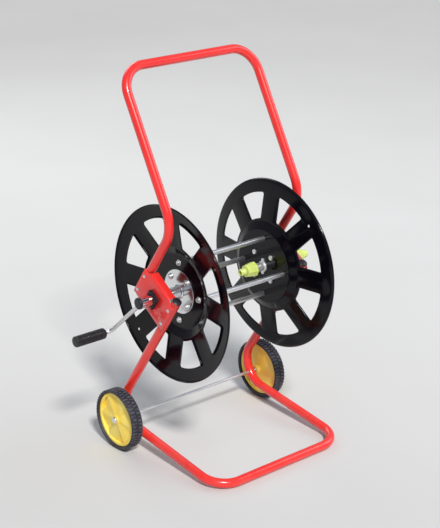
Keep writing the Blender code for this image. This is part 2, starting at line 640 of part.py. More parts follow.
def build_shafts(reel):
    """The crank shaft on the left, the water shaft on the right, and their disc bolts."""
    crank_bore = SHAFT_RADIUS - SHAFT_WALL
    crank_outline = shaft_outline(-1, CRANK_SHAFT_END, crank_bore)
    crank_shaft = turned("crank_shaft", crank_outline, "chrome", reel, SHAFT_SIDES)
    water_outline = shaft_outline(1, WATER_SHAFT_END, WATER_BORE_RADIUS, WATER_SPIGOT_RADIUS)
    water_shaft = turned("water_shaft", water_outline, "chrome", reel, SHAFT_SIDES)
    disc_x = DISC_X + DISC_THICKNESS
    places = list(on_circle(DISC_BOLT_COUNT, DISC_BOLT_START, DISC_BOLT_CIRCLE_RADIUS))
    for (name, side), shaft in zip(SIDES, (crank_shaft, water_shaft)):
        rods = []
        for number, (_, y, z) in enumerate(places, 1):
            rods.append(((side * (DISC_X - 0.005), y, z), (side * (disc_x + 0.005), y, z),
                         clear_radius(BOLT_RADIUS, 12)))
            build_bolt(f"disc_bolt_{name}_{number}", side, disc_x, DISC_BOLT_LENGTH, y, z, reel)
        boolean(shaft, rods_tool(f"disc_{name}_holes", rods, reel))

    out = crank_direction()
    hole = [(Vector((CRANK_X, 0, 0)), Vector((CRANK_X, 0, 0)) + out * SHAFT_RADIUS * 2,
             clear_radius(CRANK_ROD_RADIUS, 12))]
    boolean(crank_shaft, rods_tool("crank_rod_hole", hole, reel))

    start = -CRANK_SHAFT_END - GAP
    spigot = (crank_bore - GAP) * math.cos(math.pi / SHAFT_SIDES)
    outline = [(start + END_CAP_SPIGOT, 0), (start + END_CAP_SPIGOT, spigot), (start, spigot),
               (start, SHAFT_RADIUS), (start - END_CAP_LENGTH * 0.7, SHAFT_RADIUS),
               (start - END_CAP_LENGTH, SHAFT_RADIUS * 0.82), (start - END_CAP_LENGTH, 0)]
    turned("crank_end_cap", outline, "black_plastic", reel, SHAFT_SIDES)


def crank_direction():
    """Which way the crank's arm leaves the shaft."""
    return Vector((0, math.cos(CRANK_ANGLE), math.sin(CRANK_ANGLE)))


def build_crank(reel):
    """The bent rod of the crank, and the grip that turns on its end."""
    out = crank_direction()
    shaft_point = Vector((CRANK_X, 0, 0))
    corners = [shaft_point - out * CRANK_ROD_TAIL, shaft_point + out * CRANK_ARM,
               Vector((ROD_END_X, 0, 0)) + out * CRANK_ARM]
    path = rounded_path(corners, [CRANK_ELBOW_RADIUS], math.radians(20))
    piece("crank_rod", swept(path, CRANK_ROD_RADIUS, out.cross(X_AXIS)), "zinc", reel)

    grip_axis = empty("grip_axis", reel, out * CRANK_ARM)
    bore = clear_radius(CRANK_ROD_RADIUS, TUBE_SIDES, RUNNING_GAP)
    taper = GRIP_RADIUS * 0.86
    outline = [(GRIP_START_X, bore), (GRIP_START_X, taper)]
    pitch = GRIP_LENGTH / (GRIP_GROOVES + 1)
    for k in range(GRIP_GROOVES + 1):
        high = GRIP_START_X - pitch * (k + 0.15)
        low = GRIP_START_X - pitch * (k + 0.85)
        outline += [(high, GRIP_RADIUS), (low, GRIP_RADIUS)]
        if k < GRIP_GROOVES:
            outline.append(((low + GRIP_START_X - pitch * (k + 1.15)) / 2, GRIP_RADIUS - GRIP_GROOVE_DEPTH))
    outline += [(GRIP_END_X, taper), (GRIP_END_X, bore)]
    turned("crank_grip", outline, "grip_rubber", grip_axis, TUBE_SIDES)


def build_water_fittings(cart, reel):
    """The outlet inside the drum, where a hose starts, and the swivelling inlet outside."""
    bore = OUTLET_BORE_RADIUS
    collar_end = FLANGE_PLATEAU_X - GAP
    barrel = [(OUTLET_NUT_START_X + GAP, bore), (OUTLET_NUT_START_X + GAP, OUTLET_BARREL_RADIUS),
              (collar_end - OUTLET_COLLAR_LENGTH, OUTLET_BARREL_RADIUS),
              (collar_end - OUTLET_COLLAR_LENGTH, OUTLET_COLLAR_RADIUS),
              (collar_end, OUTLET_COLLAR_RADIUS), (collar_end, OUTLET_BARREL_RADIUS),
              (DISC_X - GAP, OUTLET_BARREL_RADIUS), (DISC_X - GAP, bore)]
    turned("outlet_barrel", barrel, "zinc", reel, SHAFT_SIDES)
    span = OUTLET_NUT_START_X - OUTLET_NUT_END_X
    nut = [(OUTLET_NUT_START_X, bore), (OUTLET_NUT_START_X, OUTLET_NUT_RADIUS * 0.9),
           (OUTLET_NUT_START_X - span * 0.15, OUTLET_NUT_RADIUS),
           (OUTLET_NUT_END_X + span * 0.12, OUTLET_NUT_RADIUS * 0.84),
           (OUTLET_NUT_END_X, OUTLET_NUT_RADIUS * 0.74), (OUTLET_NUT_END_X, bore)]
    turned("outlet_nut", nut, "lime_plastic", reel, 8, math.pi / 8)
    nipple = ring_outline(OUTLET_NUT_END_X - GAP, OUTLET_NIPPLE_END_X, bore, OUTLET_NIPPLE_RADIUS)
    turned("outlet_nipple", nipple, "lime_plastic", reel, SHAFT_SIDES)

    start = WATER_SHAFT_END + GAP
    socket = clear_radius(WATER_SPIGOT_RADIUS, SHAFT_SIDES, RUNNING_GAP)
    floor = WATER_SHAFT_END + WATER_SPIGOT_LENGTH + GAP
    inlet = [(start, socket), (start, INLET_RADIUS), (start + INLET_LENGTH * 0.8, INLET_RADIUS),
             (start + INLET_LENGTH, INLET_NIPPLE_RADIUS * 1.2), (start + INLET_LENGTH, INLET_NIPPLE_RADIUS),
             (INLET_END_X, INLET_NIPPLE_RADIUS), (INLET_END_X, bore), (floor, bore), (floor, socket)]
    turned("inlet_connector", inlet, "lime_plastic", cart, SHAFT_SIDES, location=REEL_AXIS)


# ---- wheels -----------------------------------------------------------------------------------
def build_wheel(cart, name, side):
    """One wheel: a moulded hub with a thin web, and the tyre on its rim."""
    axis = empty(f"wheel_axis_{name}", cart, AXLE_CENTRE + X_AXIS * side * WHEEL_X)
    phase = math.pi / WHEEL_SEGMENTS
    rim = TYRE_SEAT_RADIUS - GAP
    rim_inside = rim - HUB_RIM_THICKNESS
    web = HUB_WEB_THICKNESS / 2
    bore = clear_radius(AXLE_RADIUS, AXLE_SIDES, RUNNING_GAP)
    hub = [(-HUB_BOSS_INNER, bore), (-HUB_BOSS_INNER, HUB_BOSS_RADIUS), (-web, HUB_BOSS_RADIUS),
           (-web, rim_inside), (-HUB_HALF_WIDTH, rim_inside), (-HUB_HALF_WIDTH, rim),
           (HUB_HALF_WIDTH, rim), (HUB_HALF_WIDTH, rim_inside), (web, rim_inside),
           (web, HUB_BOSS_RADIUS), (HUB_BOSS_OUTER, HUB_BOSS_RADIUS), (HUB_BOSS_OUTER, bore)]
    hub = [(side * x, radius) for x, radius in hub]
    turned(f"wheel_hub_{name}", hub, "yellow_plastic", axis, WHEEL_SEGMENTS, phase)

    depth = TYRE_CORNER_RADIUS - TYRE_SEAT_RADIUS
    half = TYRE_HALF_WIDTH
    tyre = [(-HUB_HALF_WIDTH, TYRE_SEAT_RADIUS), (-half, TYRE_CORNER_RADIUS - depth * 0.55),
            (-half, TYRE_CORNER_RADIUS - depth * 0.2), (-half * 0.8, TYRE_CORNER_RADIUS),
            (half * 0.8, TYRE_CORNER_RADIUS), (half, TYRE_CORNER_RADIUS - depth * 0.2),
            (half, TYRE_CORNER_RADIUS - depth * 0.55), (HUB_HALF_WIDTH, TYRE_SEAT_RADIUS)]
    turned(f"tyre_{name}", tyre, "tyre_rubber", axis, WHEEL_SEGMENTS, phase)


def build_axle(cart):
    """The axle through both side tubes, and the push nut on each end."""
    nut_start = WHEEL_X + HUB_BOSS_OUTER + GAP
    half_length = nut_start + PUSH_NUT_HEIGHT - PUSH_NUT_SKIN - GAP
    outline = [(-half_length, 0), (-half_length, AXLE_RADIUS), (half_length, AXLE_RADIUS), (half_length, 0)]
    turned("wheel_axle", outline, "zinc", cart, AXLE_SIDES, location=AXLE_CENTRE)
    bore = clear_radius(AXLE_RADIUS, AXLE_SIDES)
    end = nut_start + PUSH_NUT_HEIGHT
    cap = [(end - PUSH_NUT_SKIN, 0), (end - PUSH_NUT_SKIN, bore), (nut_start, bore),
           (nut_start, PUSH_NUT_RADIUS), (end - PUSH_NUT_SKIN, PUSH_NUT_RADIUS),
           (end, PUSH_NUT_RADIUS * 0.6), (end, 0)]
    for name, side in SIDES:
        outline = [(side * x, radius) for x, radius in cap]
        turned(f"push_nut_{name}", outline, "zinc", cart, AXLE_SIDES, location=AXLE_CENTRE)


def main():
    """Build every piece under one empty that puts the footprint's middle at the origin."""
    clear_scene()
    front = min(FOOT_FRONT_Y - FOOT_Z, REEL_Y - FLANGE_RADIUS)
    rear = max(WHEEL_RADIUS, REEL_Y + FLANGE_RADIUS)
    left = min(ROD_END_X, -WHEEL_X - TYRE_HALF_WIDTH)
    right = max(INLET_END_X, WHEEL_X + TYRE_HALF_WIDTH)
    cart = empty("cart", None, (-(left + right) / 2, -(front + rear) / 2, 0))
    reel = empty("reel_axis", cart, REEL_AXIS)

    build_handle(cart)
    build_lower_frame(cart)
    build_tube_plugs(cart)
    build_rivets(cart)
    build_axle(cart)
    for name, side in SIDES:
        build_bracket(cart, name, side)
        build_bush(cart, name, side)
        build_wheel(cart, name, side)
        build_flange(reel, name, side)
    build_drum_bars(reel)
    build_shafts(reel)
    build_crank(reel)
    build_water_fittings(cart, reel)


main()
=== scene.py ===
"""Looks of a garden hose reel cart: bent red tube, black pressed reel, yellow wheels.

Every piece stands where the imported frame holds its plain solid, in metres, +Z up.
"""

import json
import logging
import math
from dataclasses import dataclass, field
from enum import Enum
from typing import Callable, Iterable, Sequence

import bmesh
import bpy
from mathutils import Matrix, Vector


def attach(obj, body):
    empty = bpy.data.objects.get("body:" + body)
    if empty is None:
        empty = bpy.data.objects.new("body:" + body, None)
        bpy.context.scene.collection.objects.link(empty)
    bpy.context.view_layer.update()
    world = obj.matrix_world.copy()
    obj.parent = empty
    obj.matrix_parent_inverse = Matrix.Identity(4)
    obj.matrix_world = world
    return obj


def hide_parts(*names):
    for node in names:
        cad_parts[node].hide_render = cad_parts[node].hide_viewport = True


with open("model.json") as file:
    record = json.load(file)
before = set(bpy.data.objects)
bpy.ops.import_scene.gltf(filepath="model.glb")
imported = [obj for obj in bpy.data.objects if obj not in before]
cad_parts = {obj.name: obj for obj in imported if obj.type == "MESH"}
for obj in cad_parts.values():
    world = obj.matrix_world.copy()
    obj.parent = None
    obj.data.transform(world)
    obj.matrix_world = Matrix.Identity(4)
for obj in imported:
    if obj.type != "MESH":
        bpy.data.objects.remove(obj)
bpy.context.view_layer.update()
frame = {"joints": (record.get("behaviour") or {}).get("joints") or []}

log = logging.getLogger("hose_reel_cart")

Colour = tuple[float, float, float]
Outline = Sequence[tuple[float, float]]
Test = Callable[[Vector], bool]
Piece = bpy.types.Object
Tree = bpy.types.NodeTree
Node = bpy.types.Node
Socket = bpy.types.NodeSocket
Sockets = dict[str, Socket]

X_AXIS = Vector((1.0, 0.0, 0.0))
Z_AXIS = Vector((0.0, 0.0, 1.0))
FULL_TURN = 2 * math.pi
MERGE = 1e-6


class Side(Enum):
    """Left has the crank, right has the water inlet."""

    LEFT = -1
    RIGHT = 1

    @property
    def word(self) -> str:
        """The side's name, as node names spell it."""
        return self.name.lower()


class Pick(Enum):
    """What kind of element a selection takes."""

    VERTS = "VERT"
    EDGES = "EDGE"
    FACES = "FACE"


# ---- the bench: shaping one mesh at a time ------------------------------------------------------
class Bench:
    """One mesh in edit mode, shaped by operators from a primitive to a finished piece."""

    def __init__(self, name: str) -> None:
        """Take the primitive that was added last.

        Args:
            name: name of the piece.
        """
        self.obj = bpy.context.object
        self.obj.name = name
        self.obj.data.name = name
        bpy.ops.object.transform_apply(location=True, rotation=True, scale=True)
        bpy.ops.object.mode_set(mode="EDIT")
        bpy.ops.mesh.select_mode(type="VERT")

    @staticmethod
    def clear() -> None:
        """Leave edit mode and deselect everything."""
        if bpy.context.object and bpy.context.object.mode != "OBJECT":
            bpy.ops.object.mode_set(mode="OBJECT")
        bpy.ops.object.select_all(action="DESELECT")

    @classmethod
    def ring(cls, name: str, centre: Vector, normal: Vector, radius: float, count: int) -> "Bench":
        """Start from an open ring.

        Args:
            name: name of the piece.
            centre: middle of the ring.
            normal: direction that the ring faces.
            radius: radius of the ring.
            count: number of its corners.

        Returns:
            The bench, with the ring selected.
        """
        cls.clear()
        turn = Z_AXIS.rotation_difference(normal.normalized()).to_euler()
        bpy.ops.mesh.primitive_circle_add(vertices=count, radius=radius, location=centre, rotation=turn)
        return cls(name)

    @classmethod
    def point(cls, name: str, place: Vector) -> "Bench":
        """Start from a plane merged to its middle, to draw an outline from.

        Args:
            name: name of the piece.
            place: the first point of the outline.

        Returns:
            The bench, with the point selected.
        """
        cls.clear()
        bpy.ops.mesh.primitive_plane_add(size=0.01, location=place)
        bench = cls(name)
        bpy.ops.mesh.select_all(action="SELECT")
        bpy.ops.mesh.merge(type="CENTER")
        return bench

    @classmethod
    def block(cls, name: str, centre: Vector, size: Vector, turn: float = 0.0) -> "Bench":
        """Start from a block, turned about X.

        Args:
            name: name of the piece.
            centre: middle of the block.
            size: its three sizes.
            turn: angle about X.

        Returns:
            The bench, with the block selected.
        """
        cls.clear()
        bpy.ops.mesh.primitive_cube_add(size=1, location=centre, rotation=(turn, 0, 0), scale=size)
        return cls(name)

    def pick(self, kind: Pick, test: Test) -> "Bench":
        """Select the elements whose middle passes a test.

        Args:
            kind: kind of element.
            test: takes the middle of an element.

        Returns:
            This bench.
        """
        bpy.ops.mesh.select_mode(type=kind.value)
        bpy.ops.mesh.select_all(action="DESELECT")
        mesh = bmesh.from_edit_mesh(self.obj.data)
        elements = {Pick.VERTS: mesh.verts, Pick.EDGES: mesh.edges, Pick.FACES: mesh.faces}[kind]
        for element in elements:
            if kind is Pick.VERTS:
                middle = element.co
            elif kind is Pick.EDGES:
                middle = (element.verts[0].co + element.verts[1].co) / 2
            else:
                middle = element.calc_center_median()
            if test(middle):
                element.select_set(True)
        bmesh.update_edit_mesh(self.obj.data)
        return self

    def pick_all(self) -> "Bench":
        """Select the whole mesh."""
        bpy.ops.mesh.select_all(action="SELECT")
        return self

    def start_at(self, place: Vector) -> "Bench":
        """Add one more point to the mesh, to draw the next outline from, and select only it."""
        bpy.ops.mesh.select_mode(type="VERT")
        bpy.ops.mesh.select_all(action="DESELECT")
        bpy.ops.mesh.primitive_plane_add(size=0.01, location=place)
        bpy.ops.mesh.merge(type="CENTER")
        return self

    def draw(self, points: Iterable[Vector]) -> "Bench":
        """Extrude the selected point through others.

        Args:
            points: the outline, whose first point is the selected one.

        Returns:
            This bench.
        """
        points = list(points)
        for here, there in zip(points, points[1:]):
            self.extrude(there - here)
        return self

    def extrude(self, move: Vector) -> "Bench":
        """Extrude what is selected by a straight move."""
        bpy.ops.mesh.extrude_region_move(TRANSFORM_OT_translate={"value": move})
        return self

    def move(self, by: Vector) -> "Bench":
        """Move what is selected."""
        bpy.ops.transform.translate(value=by)
        return self

    def resize(self, factors: Sequence[float], centre: Vector) -> "Bench":
        """Resize what is selected about a point."""
        bpy.ops.transform.resize(value=factors, center_override=centre)
        return self

    def spin(self, angle: float, steps: int, centre: Vector, axis: Vector,
             copies: bool = False) -> "Bench":
        """Sweep, or copy, what is selected about an axis.

        Args:
            angle: how far, in radians, by the right-hand rule.
            steps: number of steps.
            centre: a point on the axis.
            axis: direction of the axis.
            copies: whether to repeat the selection instead of sweeping it.

        Returns:
            This bench.
        """
        bpy.ops.mesh.spin(steps=steps, angle=angle, center=centre, axis=-axis, dupli=copies)
        return self

    def revolve(self, centre: Vector, steps: int) -> "Bench":
        """Sweep the whole outline once about an axis along X, and drop what ran along the axis."""
        self.pick_all().spin(FULL_TURN, steps, centre, X_AXIS).tidy()
        bpy.ops.mesh.delete_loose()
        return self

    def fill(self) -> "Bench":
        """Put a face on the selected loop."""
        bpy.ops.mesh.edge_face_add()
        return self

    def inset(self, width: float, depth: float = 0.0, each: bool = False) -> "Bench":
        """Inset the selected faces, together or one by one."""
        bpy.ops.mesh.inset(thickness=width, depth=depth, use_individual=each, use_even_offset=True)
        return self

    def bevel(self, width: float, steps: int = 3, corners: bool = False) -> "Bench":
        """Round the selected edges or, in a flat sheet, its selected corners."""
        bpy.ops.mesh.bevel(offset=width, segments=steps, affect="VERTICES" if corners else "EDGES")
        return self

    def bridge(self) -> "Bench":
        """Join the selected loops with faces."""
        bpy.ops.mesh.bridge_edge_loops()
        return self

    def tidy(self) -> "Bench":
        """Merge doubles and turn the faces outwards."""
        self.pick_all()
        bpy.ops.mesh.remove_doubles(threshold=MERGE)
        bpy.ops.mesh.normals_make_consistent(inside=False)
        return self

    def modify(self, kind: str, **settings: object) -> "Bench":
        """Add a modifier and apply it.

        Args:
            kind: Blender's name of the modifier.
            **settings: its values.

        Returns:
            This bench, back in edit mode.
        """
        bpy.ops.object.mode_set(mode="OBJECT")
        modifier = self.obj.modifiers.new(kind.title(), kind)
        for key, value in settings.items():
            setattr(modifier, key, value)
        bpy.ops.object.modifier_apply(modifier=modifier.name)
        bpy.ops.object.mode_set(mode="EDIT")
        return self

    def wall(self, thickness: float, even: bool = True) -> "Bench":
        """Give an open sheet its thickness, on the side away from its normals."""
        return self.modify("SOLIDIFY", thickness=thickness, offset=-1.0, use_even_offset=even)

    def soften(self, width: float, steps: int = 2, angle: float = 30.0) -> "Bench":
        """Break all edges sharper than an angle, given in degrees."""
        return self.modify("BEVEL", width=width, segments=steps, limit_method="ANGLE",
                           angle_limit=math.radians(angle), harden_normals=False)

    def resume(self) -> "Bench":
        """Take this mesh up again after another one was shaped."""
        self.clear()
        self.obj.select_set(True)
        bpy.context.view_layer.objects.active = self.obj
        bpy.ops.object.mode_set(mode="EDIT")
        return self

    def subtract(self, cutters: Iterable[Piece]) -> "Bench":
        """Cut with other objects, which are used up."""
        self.resume()
        for cutter in cutters:
            self.modify("BOOLEAN", operation="DIFFERENCE", solver="EXACT", object=cutter)
            bpy.data.objects.remove(cutter, do_unlink=True)
        return self

    def done(self, smooth: float = 35.0) -> Piece:
        """Finish the mesh.

        Args:
            smooth: edges up to this many degrees are shaded smooth.

        Returns:
            The finished object, at the origin.
        """
        bpy.ops.mesh.select_mode(type="VERT")
        self.pick_all()
        bpy.ops.mesh.remove_doubles(threshold=MERGE)
        bpy.ops.mesh.select_all(action="DESELECT")
        bpy.ops.object.mode_set(mode="OBJECT")
        bpy.ops.object.shade_smooth_by_angle(angle=math.radians(smooth))
        return self.obj


def turned(name: str, outline: Outline, centre: Vector, steps: int = 48,
           closed: bool = False) -> Bench:
    """Turn an outline about an axis along X, as on a lathe.

    Args:
        name: name of the piece.
        outline: (x, radius) points, x counted from the centre.
        centre: a point on the axis.
        steps: number of facets around.
        closed: whether the outline is a ring that returns to its start.

    Returns:
        The bench, with its faces outwards.
    """
    points = [centre + Vector((x, 0, radius)) for x, radius in outline]
    if closed:
        points.append(points[0])
    return Bench.point(name, points[0]).draw(points).revolve(centre, steps)


def rounded(points: Outline, radius: float, steps: int = 3) -> list[tuple[float, float]]:
    """Round the inner corners of an outline.

    Args:
        points: corners of an open outline.
        radius: size of each rounding, less where a run is short.
        steps: points per rounding, less one.

    Returns:
        The outline with an arc at each inner corner.
    """
    out = [points[0]]
    for before, corner, after in zip(points, points[1:], points[2:]):
        here = Vector(corner)
        into = here - Vector(before)
        away = Vector(after) - here
        turn = into.angle(away)
        if turn < math.radians(8):
            out.append(corner)
            continue
        reach = min(radius * math.tan(turn / 2), into.length * 0.45, away.length * 0.45)
        start = here - into.normalized() * reach
        end = here + away.normalized() * reach
        for n in range(steps + 1):
            t = n / steps
            spot = start * (1 - t) ** 2 + here * 2 * t * (1 - t) + end * t ** 2
            out.append((spot.x, spot.y))
    return out + [points[-1]]


def peg(name: str, start: Vector, end: Vector, radius: float, count: int = 24) -> Piece:
    """A closed straight rod, to cut with.

    Args:
        name: name of the rod.
        start: middle of one end.
        end: middle of the other.
        radius: its radius.
        count: number of its sides.

    Returns:
        The rod.
    """
    bench = Bench.ring(name, start, end - start, radius, count).pick_all().fill()
    return bench.extrude(end - start).tidy().done()


def bent_tube(name: str, corners: Sequence[Vector], radii: Sequence[float], radius: float,
              wall: float | None, sides: int = 32) -> Bench:
    """Bend a tube as a tube bender does: straight runs, and arcs about their own centres.

    Args:
        name: name of the piece.
        corners: both ends of the centre line, and the corners between them.
        radii: bend radius at each inner corner.
        radius: outer radius of the tube.
        wall: thickness of its wall, or None for a solid rod.
        sides: number of facets around.

    Returns:
        The bench.
    """
    bench = Bench.ring(name, corners[0], corners[1] - corners[0], radius, sides).pick_all()
    at = corners[0]
    for before, corner, after, bend in zip(corners, corners[1:], corners[2:], radii):
        into = (corner - before).normalized()
        away = (after - corner).normalized()
        angle = into.angle(away)
        reach = bend * math.tan(angle / 2)
        start = corner - into * reach
        centre = corner + (away - into).normalized() * bend / math.cos(angle / 2)
        bench.extrude(start - at)
        steps = max(4, math.ceil(angle / math.radians(5)))
        bench.spin(angle, steps, centre, into.cross(away).normalized())
        at = corner + away * reach
    bench.extrude(corners[-1] - at)
    if wall is None:
        bench.fill()
        first = corners[0]
        normal = (corners[1] - first).normalized()
        bench.pick(Pick.EDGES,
                   lambda m: abs((m - first).dot(normal)) < MERGE and (m - first).length < radius)
        return bench.fill().tidy()
    return bench.tidy().wall(wall)


def settle(piece: Piece, place: Matrix) -> Piece:
    """Move a finished mesh, whose object stays at the origin.

    Args:
        piece: the piece.
        place: where it goes; a mirror is allowed, and its faces still point outwards.

    Returns:
        The piece.
    """
    piece.data.transform(place)
    if place.determinant() < 0:
        piece.data.flip_normals()
    return piece


def copy_piece(source: Piece, name: str, place: Matrix) -> Piece:
    """Copy a finished piece to another place, with its own mesh.

    Args:
        source: the piece.
        name: name of the copy.
        place: where it goes, from the source's place.

    Returns:
        The copy.
    """
    copy = source.copy()
    copy.data = source.data.copy()
    copy.name = name
    copy.data.name = name
    bpy.context.scene.collection.objects.link(copy)
    return settle(copy, place)


def standing(side: Side, spot: Vector) -> Matrix:
    """Where a model of the right side goes on either side: at a spot, and mirrored on the left."""
    return Matrix.Translation(spot) @ Matrix.Diagonal((side.value, 1, 1, 1))


def join(name: str, pieces: Sequence[Piece]) -> Piece:
    """Join finished pieces into one object.

    Args:
        name: name of the result.
        pieces: what to join.

    Returns:
        The joined object.
    """
    Bench.clear()
    for piece in pieces:
        piece.select_set(True)
    bpy.context.view_layer.objects.active = pieces[0]
    bpy.ops.object.join()
    joined = bpy.context.object
    joined.name = name
    joined.data.name = name
    return joined


# ---- node graphs and shared surface effects -----------------------------------------------------
class Graph:
    """The nodes of one material or group, added and linked by name."""

    def __init__(self, tree: Tree) -> None:
        """Work on a node tree."""
        self.tree = tree

    def add(self, kind: str, sockets: dict[str | int, object] | None = None,
            **settings: object) -> Node:
        """Add a node.

        Args:
            kind: its type, without the prefix that all shader nodes share.
            sockets: values, or output sockets to link, for its inputs.
            **settings: its own settings.

        Returns:
            The node.
        """
        node = self.tree.nodes.new(kind if kind.startswith("Node") else "ShaderNode" + kind)
        for key, value in settings.items():
            setattr(node, key, value)
        for key, value in (sockets or {}).items():
            self.feed(node.inputs[key], value)
        return node

    def feed(self, socket: Socket, value: object) -> None:
        """Link an output to a socket, or set the socket's value."""
        if isinstance(value, Socket):
            self.tree.links.new(value, socket)
        else:
            socket.default_value = value

    def math(self, operation: str, first: object, second: object = 0.0, clamp: bool = False) -> Socket:
        """The result of a sum on two values."""
        node = self.add("Math", {0: first, 1: second}, operation=operation, use_clamp=clamp)
        return node.outputs[0]

    def blend(self, mask: object, first: object, second: object) -> Socket:
        """A colour between two, by a mask."""
        node = self.add("Mix", {0: mask}, data_type="RGBA")
        self.feed(node.inputs[6], first if isinstance(first, Socket) else (*first, 1.0))
        self.feed(node.inputs[7], second if isinstance(second, Socket) else (*second, 1.0))
        return node.outputs[2]

    def span(self, value: object, low: float, high: float, to_low: float = 0.0,
             to_high: float = 1.0) -> Socket:
        """A value moved from one span to another, and clamped there."""
        names = {"Value": value, "From Min": low, "From Max": high, "To Min": to_low, "To Max": to_high}
        return self.add("MapRange", names, clamp=True).outputs[0]

    def noise(self, scale: object, detail: float = 3.0, rough: float = 0.5,
              stretch: Sequence[float] = (1, 1, 1)) -> Socket:
        """Noise over the piece.

        Args:
            scale: how many waves in a metre.
            detail: octaves.
            rough: how strong the finer octaves are.
            stretch: factors along X, Y and Z.

        Returns:
            The noise, 0 to 1.
        """
        place = self.add("TexCoord").outputs["Object"]
        if tuple(stretch) != (1, 1, 1):
            place = self.add("Mapping", {"Vector": place, "Scale": tuple(stretch)}).outputs[0]
        names = {"Vector": place, "Scale": scale, "Detail": detail, "Roughness": rough}
        return self.add("TexNoise", names).outputs["Fac"]

    def group(self, tree: Tree, **values: object) -> Socket:
        """Place a group with its own values, and take its only output."""
        node = self.add("Group")
        node.node_tree = tree
        for key, value in values.items():
            self.feed(node.inputs[key.replace("_", " ").title()], value)
        return node.outputs[0]


class Effect(Enum):
    """Surface effects that several finishes share, each a node group that is made once."""

    GRAIN = "surface grain"
    WORN_EDGES = "worn edges"
    DUST = "ground dust"
    STREAKS = "drawn streaks"
    SCRATCHES = "fine scratches"

    def tree(self) -> Tree:
        """The group of this effect, made the first time that it is asked for."""
        found = bpy.data.node_groups.get(self.value)
        if found:
            return found
        recipe, output, inputs = RECIPES[self]
        tree = bpy.data.node_groups.new(self.value, "ShaderNodeTree")
        for name, value in inputs.items():
            socket = tree.interface.new_socket(name=name, in_out="INPUT", socket_type="NodeSocketFloat")
            socket.default_value = value
        tree.interface.new_socket(name=output, in_out="OUTPUT", socket_type="NodeSocketFloat")
        graph = Graph(tree)
        given = {socket.name: socket for socket in graph.add("NodeGroupInput").outputs}
        graph.add("NodeGroupOutput", {0: recipe(graph, given)})
        return tree


def grain(graph: Graph, given: Sockets) -> Socket:
    """Moulding or paint grain: a coarse wave under a fine one."""
    fine = graph.noise(graph.math("MULTIPLY", given["Scale"], 5.0), 3.0, 0.6)
    coarse = graph.noise(given["Scale"], 2.0)
    return graph.math("ADD", coarse, graph.math("MULTIPLY", fine, given["Fine"]))


def worn_edges(graph: Graph, given: Sockets) -> Socket:
    """Wear on outer edges, broken up by noise."""
    over = graph.math("SUBTRACT", graph.add("NewGeometry").outputs["Pointiness"], given["Start"])
    edge = graph.math("MULTIPLY", over, 14.0, clamp=True)
    broken = graph.span(graph.noise(160.0, 5.0, 0.65), 0.42, 0.62)
    return graph.math("MULTIPLY", graph.math("MULTIPLY", edge, broken), given["Amount"])


def ground_dust(graph: Graph, given: Sockets) -> Socket:
    """Dust that settles on upward faces, and splashes near the ground."""
    facing_up = graph.add("SeparateXYZ", {0: graph.add("NewGeometry").outputs["Normal"]}).outputs["Z"]
    height = graph.add("SeparateXYZ", {0: graph.add("TexCoord").outputs["Object"]}).outputs["Z"]
    lying = graph.span(facing_up, 0.2, 1.0, 0.0, 0.55)
    low = graph.math("SUBTRACT", 1.0, graph.math("DIVIDE", height, given["Splash Height"]), clamp=True)
    patches = graph.span(graph.noise(38.0, 6.0, 0.62), 0.40, 0.68)
    total = graph.math("MULTIPLY", graph.math("ADD", lying, low, clamp=True), patches)
    return graph.math("MULTIPLY", total, given["Amount"], clamp=True)


def drawn_streaks(graph: Graph, given: Sockets) -> Socket:
    """Long fine streaks along X, as on drawn and plated rod, over soft cloudy patches."""
    lines = graph.noise(given["Scale"], 2.0, 0.6, (0.03, 1, 1))
    clouds = graph.math("MULTIPLY", graph.noise(45.0, 4.0, 0.6), given["Clouds"])
    total = graph.math("ADD", lines, clouds)
    return graph.math("DIVIDE", total, graph.math("ADD", 1.0, given["Clouds"]))


def fine_scratches(graph: Graph, given: Sockets) -> Socket:
    """Sparse thin scratches in two directions."""
    lines = []
    for stretch in ((1.0, 14.0, 3.0), (9.0, 1.0, 12.0)):
        line = graph.noise(given["Scale"], 1.0, 0.4, stretch)
        near = graph.math("ABSOLUTE", graph.math("SUBTRACT", line, 0.5))
        lines.append(graph.span(near, 0.0, 0.006, 1.0, 0.0))
    some = graph.span(graph.noise(22.0, 2.0), 0.50, 0.64)
    total = graph.math("MULTIPLY", graph.math("MAXIMUM", *lines), some)
    return graph.math("MULTIPLY", total, given["Amount"])


RECIPES = {
    Effect.GRAIN: (grain, "Height", {"Scale": 400.0, "Fine": 0.4}),
    Effect.WORN_EDGES: (worn_edges, "Mask", {"Start": 0.53, "Amount": 0.6}),
    Effect.DUST: (ground_dust, "Mask", {"Amount": 0.2, "Splash Height": 0.14}),
    Effect.STREAKS: (drawn_streaks, "Value", {"Scale": 900.0, "Clouds": 0.5}),
    Effect.SCRATCHES: (fine_scratches, "Mask", {"Scale": 60.0, "Amount": 0.5}),
}


# ---- finishes -----------------------------------------------------------------------------------
DUST_COLOUR: Colour = (0.34, 0.29, 0.20)


